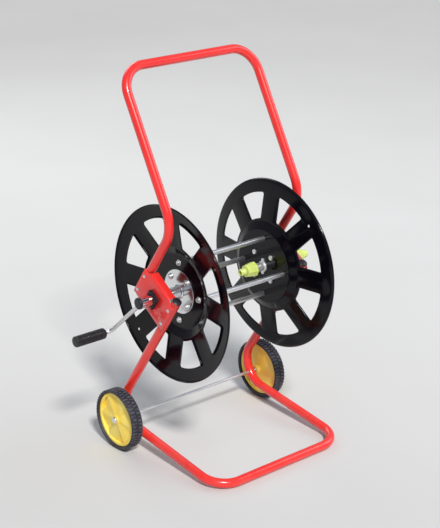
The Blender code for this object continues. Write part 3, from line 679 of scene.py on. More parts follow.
@dataclass(frozen=True)
class Finish:
    """What every finish has: its colour, its gloss and how much dust lies on it."""

    name: str
    slot: str
    colour: Colour
    shade: Colour
    roughness: float
    dust: float = 0.1
    bump: float = 0.1

    def material(self) -> bpy.types.Material:
        """The material of this finish, made the first time that it is asked for."""
        found = bpy.data.materials.get(self.name)
        if found:
            return found
        material = bpy.data.materials.new(self.name)
        material.use_nodes = True
        shader = material.node_tree.nodes["Principled BSDF"]
        self.dress(Graph(material.node_tree), shader)
        return material

    def dress(self, graph: Graph, shader: Node) -> None:
        """Fill the shader's sockets."""
        raise NotImplementedError

    def dusted(self, graph: Graph, shader: Node, colour: object, roughness: object) -> None:
        """Lay the dust over a colour and a roughness, and feed both to the shader."""
        dust = graph.group(Effect.DUST.tree(), amount=self.dust)
        graph.feed(shader.inputs["Base Color"], graph.blend(dust, colour, DUST_COLOUR))
        dulled = graph.math("ADD", roughness, graph.math("MULTIPLY", dust, 0.5), clamp=True)
        graph.feed(shader.inputs["Roughness"], dulled)

    def toned(self, graph: Graph, value: object, low: float, high: float) -> Socket:
        """A colour between the finish's shade and its colour, by where a value lies in a span."""
        return graph.blend(graph.span(value, low, high), self.shade, self.colour)

    def relief(self, graph: Graph, shader: Node, height: object, distance: float) -> None:
        """Feed a height to the shader's normal through a bump node."""
        names = {"Height": height, "Strength": self.bump, "Distance": distance}
        graph.feed(shader.inputs["Normal"], graph.add("Bump", names).outputs[0])


@dataclass(frozen=True)
class Enamel(Finish):
    """Stove enamel: a level gloss with a faint orange peel, worn to the primer on edges."""

    primer: Colour = (0.30, 0.20, 0.18)
    wear: float = 0.5
    coat: float = 0.5
    gloss: float = 0.5

    def dress(self, graph: Graph, shader: Node) -> None:
        """Fill the shader's sockets."""
        colour = self.toned(graph, graph.noise(14.0, 4.0), 0.35, 0.65)
        wear = graph.group(Effect.WORN_EDGES.tree(), amount=self.wear)
        colour = graph.blend(wear, colour, self.primer)
        scratches = graph.group(Effect.SCRATCHES.tree(), amount=0.5)
        marks = graph.math("MULTIPLY", graph.math("ADD", wear, scratches), 0.3)
        self.dusted(graph, shader, colour, graph.math("ADD", marks, self.roughness))
        shader.inputs["Specular IOR Level"].default_value = self.gloss
        shader.inputs["Coat Weight"].default_value = self.coat
        shader.inputs["Coat Roughness"].default_value = 0.06
        self.relief(graph, shader, graph.group(Effect.GRAIN.tree(), scale=260.0, fine=0.15), 0.0004)


@dataclass(frozen=True)
class Plating(Finish):
    """Zinc or chrome on steel: streaks and clouds in its gloss, dull spots here and there."""

    spread: float = 0.12
    tarnish: Colour = (0.36, 0.33, 0.30)

    def dress(self, graph: Graph, shader: Node) -> None:
        """Fill the shader's sockets."""
        streaks = graph.group(Effect.STREAKS.tree(), clouds=0.7)
        colour = self.toned(graph, streaks, 0.36, 0.64)
        spots = graph.span(graph.noise(210.0, 5.0, 0.7), 0.60, 0.74, 0.0, 0.7)
        colour = graph.blend(spots, colour, self.tarnish)
        low, high = self.roughness - self.spread / 2, self.roughness + self.spread / 2
        gloss = graph.span(streaks, 0.3, 0.7, low, high)
        dull = graph.math("MULTIPLY", spots, 0.25)
        self.dusted(graph, shader, colour, graph.math("ADD", gloss, dull))
        shader.inputs["Metallic"].default_value = 1.0
        self.relief(graph, shader, streaks, 0.0002)


@dataclass(frozen=True)
class Plastic(Finish):
    """Moulded plastic: a fine grain, slight clouding, and light that soaks in where it is thin."""

    soak: float = 0.0
    soak_reach: float = 0.004
    grain: float = 700.0

    def dress(self, graph: Graph, shader: Node) -> None:
        """Fill the shader's sockets."""
        colour = self.toned(graph, graph.noise(26.0, 4.0, 0.6), 0.35, 0.65)
        scratches = graph.group(Effect.SCRATCHES.tree(), scale=90.0, amount=0.35)
        uneven = graph.span(graph.noise(120.0, 4.0), 0.3, 0.7, -0.04, 0.06)
        even = graph.math("ADD", uneven, self.roughness)
        marks = graph.math("MULTIPLY", scratches, 0.3)
        self.dusted(graph, shader, colour, graph.math("ADD", even, marks))
        if self.soak:
            shader.inputs["Subsurface Weight"].default_value = self.soak
            shader.inputs["Subsurface Radius"].default_value = (1.0, 0.8, 0.3)
            shader.inputs["Subsurface Scale"].default_value = self.soak_reach
        self.relief(graph, shader, graph.group(Effect.GRAIN.tree(), scale=self.grain, fine=0.4), 0.0003)


@dataclass(frozen=True)
class Rubber(Finish):
    """Moulded rubber: matt, mottled, and greyed where it rubs."""

    rubbed: Colour = (0.10, 0.10, 0.11)

    def dress(self, graph: Graph, shader: Node) -> None:
        """Fill the shader's sockets."""
        colour = self.toned(graph, graph.noise(70.0, 5.0, 0.65), 0.35, 0.65)
        wear = graph.group(Effect.WORN_EDGES.tree(), start=0.52, amount=0.7)
        colour = graph.blend(wear, colour, self.rubbed)
        uneven = graph.span(graph.noise(200.0, 3.0), 0.3, 0.7, -0.08, 0.08)
        self.dusted(graph, shader, colour, graph.math("ADD", uneven, self.roughness))
        self.relief(graph, shader, graph.group(Effect.GRAIN.tree(), scale=900.0, fine=0.6), 0.0004)


RED_ENAMEL = Enamel(
    "bright red stove enamel", "red_enamel", (0.86, 0.028, 0.024), (0.78, 0.020, 0.018), 0.28,
    dust=0.07, bump=0.10, primer=(0.40, 0.10, 0.08), wear=0.35, coat=0.5)
BLACK_ENAMEL = Enamel(
    "piano black enamel", "black_enamel", (0.0030, 0.0024, 0.0050), (0.0022, 0.0018, 0.0038), 0.12,
    dust=0.02, bump=0.04, primer=(0.05, 0.05, 0.06), wear=0.20, coat=0.0, gloss=0.23)
BLACK_PLASTIC = Plastic(
    "satin black moulding", "black_plastic", (0.014, 0.014, 0.020), (0.009, 0.009, 0.014), 0.38,
    dust=0.10, bump=0.20)
CHROME = Plating(
    "bright chrome", "chrome", (0.86, 0.87, 0.88), (0.74, 0.76, 0.78), 0.12,
    dust=0.02, bump=0.02, spread=0.07)
ZINC = Plating(
    "bright zinc plate", "zinc", (0.88, 0.89, 0.90), (0.76, 0.78, 0.80), 0.37, dust=0.03, bump=0.02)
ALLOY = Plating(
    "satin alloy", "zinc", (0.93, 0.94, 0.96), (0.84, 0.86, 0.89), 0.46, dust=0.01, bump=0.02)
YELLOW = Plastic(
    "sun yellow moulding", "yellow_plastic", (1.0, 0.80, 0.17), (0.98, 0.68, 0.08), 0.30,
    dust=0.03, bump=0.10, soak=0.10, soak_reach=0.003)
LIME = Plastic(
    "pale lime moulding", "lime_plastic", (0.66, 0.76, 0.24), (0.56, 0.68, 0.16), 0.22,
    dust=0.03, bump=0.08, soak=0.45, soak_reach=0.006)
TYRE = Rubber(
    "tyre rubber", "tyre_rubber", (0.024, 0.024, 0.038), (0.015, 0.015, 0.026), 0.60,
    dust=0.12, bump=0.25, rubbed=(0.13, 0.13, 0.16))
GRIP = Rubber(
    "grip rubber", "grip_rubber", (0.011, 0.010, 0.013), (0.007, 0.007, 0.009), 0.42,
    dust=0.06, bump=0.25, rubbed=(0.07, 0.07, 0.08))


def put(piece: Piece, finish: Finish, body: str, *nodes: str) -> Piece:
    """Dress a finished piece and hand it to its body.

    Args:
        piece: the finished piece.
        finish: its finish.
        body: the body that it moves with.
        *nodes: the plain solids that it stands for.

    Returns:
        The piece.
    """
    piece.data.materials.clear()
    piece.data.materials.append(finish.material())
    if nodes:
        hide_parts(*nodes)
    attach(piece, body)
    log.info("%s: %d faces on %s", piece.name, len(piece.data.polygons), body)
    return piece


def repeat(model: Piece, finish: Finish, body: str, ending: str, places: dict[str, Matrix]) -> None:
    """Dress a copy of a model at each place, and use the model up.

    Args:
        model: the finished shape.
        finish: its finish.
        body: the body that the copies move with.
        ending: what a copy adds to its plain solid's name; empty for an extra piece.
        places: where each copy goes, by the name of its plain solid or its own.
    """
    for name, place in places.items():
        if ending:
            put(copy_piece(model, f"{name}_{ending}", place), finish, body, name)
        else:
            put(copy_piece(model, name, place), finish, body)
    bpy.data.objects.remove(model, do_unlink=True)


# ---- shared shapes ------------------------------------------------------------------------------
LEAN = math.radians(34.2)
DOWN_TUBE = Vector((0, math.sin(LEAN), -math.cos(LEAN)))
ACROSS_TUBE = Vector((0, math.cos(LEAN), math.sin(LEAN)))
TUBE_RADIUS = 0.011
TUBE_X = 0.1932
PLATE_FACE_X = 0.2065
HANDLE_ACROSS = 0.0526
SIDE_ACROSS = -0.0510


def sheet(name: str, points: Sequence[Vector]) -> Bench:
    """One flat face inside a closed outline.

    Args:
        name: name of the piece.
        points: the outline, in order.

    Returns:
        The bench, with the face selected.
    """
    bench = Bench.point(name, points[0]).draw([*points, points[0]]).pick_all()
    bpy.ops.mesh.remove_doubles(threshold=MERGE)
    return bench.pick_all().fill()


def facing(bench: Bench, direction: Vector) -> Bench:
    """Turn an open sheet's normals so that most of them point one way.

    Args:
        bench: the sheet.
        direction: which way.

    Returns:
        The bench.
    """
    bench.tidy()
    mesh = bmesh.from_edit_mesh(bench.obj.data)
    if sum(face.normal.dot(direction) * face.calc_area() for face in mesh.faces) < 0:
        bench.pick_all()
        bpy.ops.mesh.flip_normals()
    return bench


def spot_key(spot: Vector) -> tuple[float, ...]:
    """A place rounded to a hundredth of a millimetre, to look it up by."""
    return tuple(round(part, 5) for part in spot)


def around(count: int, start: float, radius: float) -> list[Vector]:
    """Equally spaced places on a circle about an axis along X."""
    angles = [start + FULL_TURN * k / count for k in range(count)]
    return [Vector((0, radius * math.cos(angle), radius * math.sin(angle))) for angle in angles]


def hexagon(name: str, start: float, height: float, across: float) -> Piece:
    """A chamfered hexagon standing along X from x = start.

    Args:
        name: name of the piece.
        start: where it starts.
        height: how tall it is; negative stands it the other way.
        across: radius of its corners.

    Returns:
        The piece.
    """
    direction = X_AXIS * math.copysign(1, height)
    bench = Bench.ring(name, X_AXIS * start, direction, across, 6).pick_all().fill()
    bench.extrude(X_AXIS * height)
    top = start + height
    bench.tidy().pick(Pick.EDGES, lambda m: abs(m.x - top) < MERGE)
    bench.bevel(across * 0.12, 2)
    return bench.tidy().soften(across * 0.04, 1).done()


@dataclass
class Cart:
    """What every sub-assembly shares: where the axes cross the cart's middle plane."""

    reel: Vector
    axle: Vector

    @classmethod
    def read(cls) -> "Cart":
        """Read the axes from the frame's joints."""
        places = {joint["name"]: Vector(joint["pos_m"]) for joint in frame["joints"]}
        axle = (places["left_wheel_spin"] + places["right_wheel_spin"]) / 2
        return cls(Vector((axle.x, places["reel_spin"].y, places["reel_spin"].z)), axle)

    @property
    def home(self) -> Vector:
        """The spot on the ground below the middle of the wheel axle."""
        return Vector((self.axle.x, self.axle.y, 0))

    def beside(self, side: Side, along: float, across: float, x: float = TUBE_X) -> Vector:
        """A place beside the reel.

        Args:
            side: which side.
            along: distance down the side tubes from the reel's axis.
            across: distance across them, to the rear.
            x: distance from the middle plane.

        Returns:
            The place.
        """
        place = self.reel + DOWN_TUBE * along + ACROSS_TUBE * across
        return place + X_AXIS * side.value * x


    def on_reel(self, name: str, spots: Sequence[Vector], x: float) -> dict[str, Matrix]:
        """Places on both sides of the reel.

        Args:
            name: start of their names.
            spots: where they lie about the reel's axis.
            x: distance from the middle plane.

        Returns:
            The places, by name, side and number.
        """
        return {f"{name}_{side.word}_{number}":
                standing(side, self.reel + spot + X_AXIS * side.value * x)
                for side in Side for number, spot in enumerate(spots, 1)}


# ---- tubes --------------------------------------------------------------------------------------
@dataclass
class TubeFrame(Cart):
    """The bent tubes: the handle, both side tubes and the foot loop, with plugs in their open ends."""

    wall: float = 0.0015
    handle_top: tuple[float, float] = (0.0113, 0.9199)
    kink_z: float = 0.590
    foot_front: tuple[float, float] = (-0.3285, 0.0110)
    bend: float = 0.063
    axle_inset: float = 0.003
    axle_hole: float = 0.0043
    handle_bends: tuple[float, ...] = (0.075, 0.062, 0.062, 0.075)
    foot_bends: tuple[float, ...] = (0.060, 0.060)
    joint_setback: float = 0.107
    joint_seam: float = 0.0007
    upper_end: float = -0.048
    lower_end: float = 0.040

    def build(self) -> None:
        """Build every tube and plug."""
        self.handle()
        top, corner, joint, front = self.side_line()
        for side in Side:
            shift = X_AXIS * side.value * TUBE_X
            line = [top + shift, corner + shift, joint + shift]
            tube = bent_tube(f"side_tube_{side.word}_bent", line, [self.bend], TUBE_RADIUS, self.wall)
            axle = self.axle + X_AXIS * side.value * TUBE_X
            reach = X_AXIS * TUBE_RADIUS * 2
            tube.subtract([peg("axle_hole", axle - reach, axle + reach, self.axle_hole)])
            put(tube.done(), RED_ENAMEL, "frame", f"side_tube_{side.word}")
        self.foot(joint, front)
        self.plugs()

    def handle(self) -> None:
        """The handle: both legs, their kinks and the hand bar in one bent tube."""
        ends = []
        for side in Side:
            low = self.beside(side, self.lower_end, HANDLE_ACROSS)
            kink = low - DOWN_TUBE * ((self.kink_z - low.z) / -DOWN_TUBE.z)
            top = Vector((low.x, self.home.y + self.handle_top[0], self.handle_top[1]))
            ends.append([low, kink, top])
        corners = ends[0] + ends[1][::-1]
        tube = bent_tube("handle_bent", corners, self.handle_bends, TUBE_RADIUS, self.wall, 40)
        put(tube.done(), RED_ENAMEL, "frame", "handle_frame")

    def side_line(self) -> tuple[Vector, Vector, Vector, Vector]:
        """Centre line of a side tube and the foot, in the middle plane.

        Returns:
            Upper end, corner, joint with the foot, and the foot's front corner.
        """
        reel, axle = self.reel, self.axle
        reach = self.bend - self.axle_inset
        swing = math.acos((SIDE_ACROSS - self.bend - (axle - reel).dot(ACROSS_TUBE)) / reach)
        direction = LEAN + swing
        centre = axle + reach * Vector((0, math.cos(direction), math.sin(direction)))
        front = self.home + Vector((0, *self.foot_front))
        to_front = front - centre
        leave = math.atan2(to_front.z, to_front.y) + math.acos(self.bend / to_front.length)
        turn = LEAN - (leave - FULL_TURN if leave > 0 else leave)
        corner = centre + ACROSS_TUBE * self.bend + DOWN_TUBE * self.bend * math.tan(turn / 2)
        joint = front + (corner - front).normalized() * self.joint_setback
        top = reel + DOWN_TUBE * self.upper_end + ACROSS_TUBE * SIDE_ACROSS
        return top, corner, joint, front

    def foot(self, joint: Vector, front: Vector) -> None:
        """The foot loop, from one joint round both front corners to the other.

        Args:
            joint: its end, in the middle plane.
            front: its front corner, in the middle plane.
        """
        gap = (front - joint).normalized() * self.joint_seam
        left, right = X_AXIS * -TUBE_X, X_AXIS * TUBE_X
        corners = [joint + gap + left, front + left, front + right, joint + gap + right]
        tube = bent_tube("foot_loop_bent", corners, self.foot_bends, TUBE_RADIUS, self.wall, 40)
        put(tube.done(), RED_ENAMEL, "frame", "foot_loop")

    def plugs(self) -> None:
        """A domed plug with a raised rim in each open end."""
        outline = [(-0.009, 0), (-0.009, 0.0088), (0.0003, 0.0089), (0.0003, 0.0108), (0.0009, 0.0112),
                   (0.0020, 0.0110), (0.0026, 0.0100), (0.0032, 0.0086), (0.0044, 0.0052),
                   (0.0048, 0.0)]
        places = {}
        for kind, along, across, outwards in (
                ("side_plug", self.upper_end, SIDE_ACROSS, -DOWN_TUBE),
                ("handle_plug", self.lower_end, HANDLE_ACROSS, DOWN_TUBE)):
            turn = X_AXIS.rotation_difference(outwards).to_matrix().to_4x4()
            for side in Side:
                spot = self.beside(side, along, across)
                places[f"{kind}_{side.word}"] = Matrix.Translation(spot) @ turn
        repeat(turned("plug", outline, Vector(), 32).done(30), BLACK_PLASTIC, "frame", "domed", places)


# ---- brackets -----------------------------------------------------------------------------------
@dataclass
class Brackets(Cart):
    """On each side a pressed plate, its rivets and the ribbed bush that carries the reel."""

    thickness: float = 0.002
    fold_depth: float = 0.020
    fold_levels: tuple[float, float] = (-0.0455, 0.0450)
    fold_half_width: float = 0.030
    fold_radius: float = 0.0045
    corner_start: float = 0.0610
    corner_radius: float = 0.0055
    plate_hole: float = 0.0156
    rivet_rows: tuple[float, float] = (-0.020, 0.027)
    bush_side: float = 0.033
    bush_depth: float = 0.0095
    bush_bore: float = 0.0139
    ribs: int = 5
    rib_notch: float = 0.0022

    def build(self) -> None:
        """Build both sides."""
        rivets, bushes = {}, {}
        for side in Side:
            self.plate(side)
            for row, across in (("handle", HANDLE_ACROSS), ("side", SIDE_ACROSS)):
                for number, along in enumerate(self.rivet_rows, 1):
                    spot = self.beside(side, along, across, PLATE_FACE_X + 0.0002)
                    rivets[f"rivet_{row}_{side.word}_{number}"] = standing(side, spot)
            bushes[f"bush_{side.word}"] = standing(side, self.beside(side, 0, 0, PLATE_FACE_X))
        rivet = [(-0.006, 0), (-0.006, 0.0022), (0.0001, 0.0022), (0.0001, 0.0042), (0.0005, 0.0043),
                 (0.0013, 0.0036), (0.0019, 0.0022), (0.0021, 0)]
        repeat(turned("rivet", rivet, Vector(), 24).done(40), ZINC, "frame", "domed", rivets)
        repeat(self.bush(), BLACK_PLASTIC, "frame", "ribbed", bushes)

    def plate(self, side: Side) -> None:
        """The pressed plate: waisted edges over the tubes, two folded edges between them.

        Args:
            side: which side.
        """
        upper = [(-0.0425, 0.0615), (-0.0385, 0.0545), (-0.0400, 0.0460), (-0.0455, 0.0385),
                 (-0.0455, -0.0380), (-0.0405, -0.0455), (-0.0390, -0.0535), (-0.0425, -0.0615)]
        lower = [(0.0430, -0.0615), (0.0405, -0.0530), (0.0450, -0.0385), (0.0450, 0.0385),
                 (0.0405, 0.0530), (0.0430, 0.0615)]
        points = [self.beside(side, along, across, PLATE_FACE_X) for along, across in upper + lower]
        bench = sheet(f"bracket_{side.word}_pressed", points)
        reel = self.reel

        def corner(m: Vector) -> bool:
            """Whether a point is one of the four outer corners."""
            return abs((m - reel).dot(ACROSS_TUBE)) > self.corner_start

        bench.pick(Pick.VERTS, corner).bevel(self.corner_radius, 5, corners=True)
        folds = []
        for along in self.fold_levels:
            def on_fold(m: Vector, level: float = along) -> bool:
                """Whether a point lies on this folded edge."""
                down, across = (m - reel).dot(DOWN_TUBE), (m - reel).dot(ACROSS_TUBE)
                return abs(down - level) < 10 * MERGE and abs(across) < self.fold_half_width

            folds.append(on_fold)
            bench.pick(Pick.EDGES, on_fold).extrude(X_AXIS * -side.value * self.fold_depth)
        face = self.beside(side, 0, 0, PLATE_FACE_X).x
        bench.pick(Pick.EDGES, lambda m: abs(m.x - face) < MERGE and any(test(m) for test in folds))
        bench.bevel(self.fold_radius, 5)
        facing(bench, X_AXIS * side.value).wall(self.thickness)
        centre = self.beside(side, 0, 0, PLATE_FACE_X)
        reach = X_AXIS * 0.01
        bench.subtract([peg("bush_hole", centre - reach, centre + reach, self.plate_hole, 40)])
        put(bench.soften(0.0004, 2, 40).done(40), RED_ENAMEL, "frame", f"bracket_{side.word}")

    def bore(self) -> Piece:
        """The bush's bore, to cut with."""
        return peg("bore", X_AXIS * -0.02, X_AXIS * 0.02, self.bush_bore, 40)

    def bush(self) -> Piece:
        """A bush for the right side, its foot at x = 0: a flat foot, a ribbed body and a boss."""
        half, hole = self.bush_side / 2, self.bush_bore
        pitch = self.bush_side / (2 * self.ribs - 1)
        run = [-half + n * pitch for n in range(2 * self.ribs)]
        outline = []
        for n, (start, end) in enumerate(zip(run, run[1:])):
            level = half - (self.rib_notch if n % 2 else 0)
            outline += [(start, level), (end, level)]
        turn = Matrix.Rotation(LEAN, 3, "X")
        points = []
        for quarter in range(4):
            spin = Matrix.Rotation(-quarter * math.pi / 2, 3, "X")
            side_points = [turn @ spin @ Vector((0.0030, y, z)) for y, z in outline]
            points += side_points if not points else side_points[1:]
        body = sheet("bush_body", points[:-1]).extrude(X_AXIS * (self.bush_depth - 0.0027)).tidy()
        ribbed = body.subtract([self.bore()]).soften(0.00025, 1).done()
        size = Vector((0.0030, self.bush_side, self.bush_side))
        foot = Bench.block("bush_foot", X_AXIS * 0.0018, size, LEAN).soften(0.0012, 3)
        plinth = foot.subtract([self.bore()]).done()
        collar = [(-0.0058, hole), (-0.0058, 0.0149), (-0.0054, 0.0153), (0.004, 0.0153), (0.004, hole)]
        boss = turned("bush_boss", collar, Vector(), 40, closed=True).done()
        lip = [(0.0090, hole), (0.0090, 0.0156), (0.0096, 0.0156), (0.0098, 0.0152), (0.0098, 0.0143),
               (0.0096, hole)]
        ring = turned("bush_lip", lip, Vector(), 40, closed=True).done()
        return join("bush", [ribbed, plinth, boss, ring])


# ---- reel ---------------------------------------------------------------------------------------
@dataclass
class Reel(Cart):
    """The reel: two pressed flanges, four bars, their bolts, and the shaft discs."""

    sheet: float = 0.0015
    plateau_x: float = 0.129
    disc_x: float = 0.1308
    windows: int = 8
    sector_steps: int = 12
    spoke_width: float = 0.0525
    window_radii: tuple[float, float] = (0.1150, 0.1775)
    window_corner: float = 0.0045
    lip_depth: float = 0.0052
    fold_radius: float = 0.0019
    ring_radii: tuple[float, float] = (0.1132, 0.1800)
    ring_slope: float = 0.0145 / 0.091
    bolt_hole: float = 0.0033
    tie_hole: tuple[float, float] = (0.184, 0.0032)
    disc_thickness: float = 0.0020
    bar_spots: Sequence[Vector] = field(default_factory=lambda: around(4, math.pi / 2, 0.0705))
    disc_spots: Sequence[Vector] = field(default_factory=lambda: around(4, math.pi / 4, 0.0415))

    def build(self) -> None:
        """Build the whole reel."""
        for side in Side:
            self.flange(side)
        self.bars()
        self.bolts()
        self.crank_shaft()
        self.water_shaft()

    def profile(self, radius: float) -> float:
        """Distance of the flange's inner face from the middle plane, in its windowed ring."""
        return 0.1395 + (radius - 0.113) * self.ring_slope

    def on_face(self, radius: float, angle: float) -> Vector:
        """A point of the windowed ring."""
        return Vector((self.profile(radius), radius * math.cos(angle), radius * math.sin(angle)))

    def window(self) -> list[Vector]:
        """The first window's outline, centred half a pitch from the first spoke.

        Returns:
            Its points: arcs at both ends, sides along the spokes, and rounded corners.
        """
        pitch = FULL_TURN / self.windows
        half, round_ = self.spoke_width / 2, self.window_corner
        inner, outer = self.window_radii
        quarter = []
        for radius, centre_radius, sign in ((inner, inner + round_, -1), (outer, outer - round_, 1)):
            tilt = math.asin((half + round_) / centre_radius)
            centre = Vector((centre_radius * math.cos(tilt), centre_radius * math.sin(tilt)))
            first = math.atan2(sign * centre.y, sign * centre.x)
            last = -math.pi / 2
            if sign < 0:
                first, last = first % FULL_TURN, last % FULL_TURN
            arc = [first + (last - first) * n / 4 for n in range(5)]
            points = [centre + round_ * Vector((math.cos(a), math.sin(a))) for a in arc]
            edge = [pitch / 2 + (tilt - pitch / 2) * n / 4 for n in range(4)]
            points = [radius * Vector((math.cos(a), math.sin(a))) for a in edge] + points
            quarter.append(points)
        low_side = quarter[0] + [(quarter[0][-1] + quarter[1][-1]) / 2] + quarter[1][::-1]
        flat = [(point.length, math.atan2(point.y, point.x)) for point in low_side]
        high_side = [(radius, pitch - angle) for radius, angle in flat[::-1]]
        return [self.on_face(radius, angle) for radius, angle in flat + high_side[1:-1]]

    def sector_edge(self, inner: float, outer: float) -> list[Vector]:
        """Outline of one sector of the windowed ring, from spoke centre to spoke centre.

        Args:
            inner: its inner radius.
            outer: its outer radius.

        Returns:
            Its points.
        """
        pitch = FULL_TURN / self.windows
        arc = [pitch * n / self.sector_steps for n in range(self.sector_steps + 1)]
        radii = [inner + (outer - inner) * n / 6 for n in range(7)]
        points = [self.on_face(inner, angle) for angle in arc]
        points += [self.on_face(radius, pitch) for radius in radii[1:]]
        points += [self.on_face(outer, angle) for angle in arc[-2::-1]]
        return points + [self.on_face(radius, 0) for radius in radii[-2:0:-1]]

    def flange(self, side: Side) -> None:
        """One pressed flange: plateau, step, windowed ring with lipped windows, rolled rim.

        Args:
            side: which side.
        """
        inner, outer = self.ring_radii
        window = self.window()
        bench = Bench.point(f"reel_flange_{side.word}_pressed", window[0])
        bench.draw([*window, window[0]]).tidy()
        lip = X_AXIS * self.lip_depth
        bench.pick_all().extrude(lip)
        edge = self.sector_edge(inner, outer)
        bench.start_at(edge[0]).draw([*edge, edge[0]]).tidy()
        border = {spot_key((a + b) / 2) for a, b in zip(edge, edge[1:] + edge[:1])}
        rim = {spot_key((a + b) / 2) for a, b in zip(window, window[1:] + window[:1])}
        bench.pick(Pick.EDGES, lambda m: spot_key(m) in border | rim).bridge()
        bench.pick(Pick.EDGES, lambda m: spot_key(m) in rim).bevel(self.fold_radius, 3)
        others = self.windows - 1
        bench.tidy().spin(FULL_TURN * others / self.windows, others, Vector(), X_AXIS, copies=True)
        bench.tidy()
        for outline in self.rings(inner, outer):
            self.add_ring(bench, outline)
        facing(bench, -X_AXIS).wall(self.sheet, even=False)
        holes = [(spot, self.bolt_hole) for spot in [*self.bar_spots, *self.disc_spots]]
        tie_radius, tie_hole = self.tie_hole
        tie_angle = math.radians(-45 if side is Side.LEFT else 135)
        holes.append((around(1, tie_angle, tie_radius)[0], tie_hole))
        low, high = X_AXIS * 0.11, X_AXIS * 0.18
        rods = [peg("hole", spot + low, spot + high, radius, 21) for spot, radius in holes]
        done = settle(bench.subtract(rods).tidy().done(40), standing(side, self.reel))
        put(done, BLACK_ENAMEL, "reel", f"reel_flange_{side.word}")

    def rings(self, inner: float, outer: float) -> list[list[tuple[float, float]]]:
        """Outlines of the plain rings inside and outside the windowed ring.

        Args:
            inner: where the windowed ring starts.
            outer: where it ends.

        Returns:
            An outline for each, as (x, radius) points.
        """
        step = [(self.plateau_x, 0.0109), (self.plateau_x, 0.0560), (self.plateau_x, 0.0905),
                (0.1392, 0.1092), (self.profile(inner), inner)]
        curl = [(self.profile(outer), outer), (0.1540, 0.2040), (0.1552, 0.2085), (0.1585, 0.2109),
                (0.1612, 0.2106), (0.1622, 0.2092)]
        return [rounded(step, 0.010, 6), rounded(curl, 0.006, 4)]

    def add_ring(self, bench: Bench, outline: Outline) -> None:
        """Turn one more outline in a mesh that is being edited.

        Args:
            bench: the mesh.
            outline: (x, radius) points.
        """
        points = [Vector((x, radius, 0)) for x, radius in outline]
        drawn = {spot_key((a + b) / 2) for a, b in zip(points, points[1:])}
        bench.start_at(points[0]).draw(points).pick(Pick.EDGES, lambda m: spot_key(m) in drawn)
        bench.spin(FULL_TURN, self.windows * self.sector_steps, Vector(), X_AXIS).tidy()

    def bars(self) -> None:
        """The four tubes between the flanges."""
        half = self.plateau_x - 0.0003
        outline = [(-half, 0.0034), (-half, 0.0056), (0.0004 - half, 0.0060), (half - 0.0004, 0.0060),
                   (half, 0.0056), (half, 0.0034)]
        model = turned("drum_bar", outline, Vector(), 32, closed=True).done()
        places = {f"drum_bar_{number}": Matrix.Translation(self.reel + spot)
                  for number, spot in enumerate(self.bar_spots, 1)}
        repeat(model, ZINC, "reel", "tube", places)

    def bolt(self, length: float) -> Piece:
        """A hex bolt with a washer face, its seat at x = 0 and its shank to -X.

        Args:
            length: length of the shank.

        Returns:
            The bolt.
        """
        disc = [(0.0002, 0.003), (0.0002, 0.0072), (0.0005, 0.0075), (0.0012, 0.0075), (0.0016, 0.0071),
                (0.0016, 0.003)]
        washer = turned("washer", disc, Vector(), 32, closed=True).done()
        shank = turned("shank", [(-length, 0), (-length, 0.0024), (0.0006 - length, 0.003),
                                 (0.0010, 0.003), (0.0010, 0)], Vector(), 24).done()
        head = hexagon("head", 0.0015, 0.0042, 0.0057)
        crown = turned("crown", [(0.0050, 0), (0.0050, 0.0044), (0.0057, 0.0043), (0.0061, 0.0030),
                                 (0.0062, 0)], Vector(), 32).done()
        return join("bolt", [washer, shank, head, crown])

    def bolts(self) -> None:
        """The bolts in the bars' ends, the bolts through the discs, and the nuts behind these."""
        nut = hexagon("nut", -0.0005, -0.0056, 0.0064)
        bar_seat, disc_seat = self.plateau_x + self.sheet, self.disc_x + self.disc_thickness
        for name, model, ending, spots, seat in (
                ("bar_bolt", self.bolt(0.0180), "hex", self.bar_spots, bar_seat),
                ("disc_bolt", self.bolt(0.0100), "hex", self.disc_spots, disc_seat),
                ("disc_nut", nut, "", self.disc_spots, self.plateau_x)):
            repeat(model, ZINC, "reel", ending, self.on_reel(name, spots, seat))

    def disc_outline(self, end: float, bore: float) -> list[tuple[float, float]]:
        """A disc with a weld neck and a tube on it, along +X.

        Args:
            end: where the tube ends.
            bore: radius of the bore.

        Returns:
            The outline up to the tube's end.
        """
        start, face = self.disc_x, self.disc_x + self.disc_thickness
        return [(start, bore), (start, 0.0524), (start + 0.0004, 0.0529), (face - 0.0006, 0.0530),
                (face, 0.0524), (face, 0.0172), (face + 0.0008, 0.0166), (face + 0.0026, 0.0158),
                (face + 0.0040, 0.0136), (end - 0.0008, 0.0135), (end, 0.0128), (end, bore)]

    def disc_holes(self) -> list[Piece]:
        """Cutters for the four bolts of a disc."""
        low, high = X_AXIS * (self.disc_x - 0.005), X_AXIS * (self.disc_x + 0.008)
        return [peg("hole", spot + low, spot + high, self.bolt_hole, 20) for spot in self.disc_spots]

    def crank_shaft(self) -> None:
        """The left disc and its shaft, with the rod's hole and the cap."""
        arm = Crank.arm_direction()
        outline = self.disc_outline(0.2450, 0.0110)
        shaft = turned("crank_shaft_chromed", outline, Vector(), 64, closed=True)
        rod = X_AXIS * 0.2380
        shaft.subtract([*self.disc_holes(), peg("rod_hole", rod, rod + arm * 0.03, 0.0053)])
        put(settle(shaft.done(), standing(Side.LEFT, self.reel)), CHROME, "reel", "crank_shaft")
        cap = [(-0.2438, 0), (-0.2438, 0.0107), (-0.2453, 0.0107), (-0.2453, 0.0134), (-0.2458, 0.0137),
               (-0.2494, 0.0137), (-0.2507, 0.0131), (-0.2515, 0.0118), (-0.2518, 0.0095), (-0.2518, 0)]
        domed = turned("crank_end_cap_domed", cap, self.reel, 48).done()
        put(domed, BLACK_PLASTIC, "reel", "crank_end_cap")

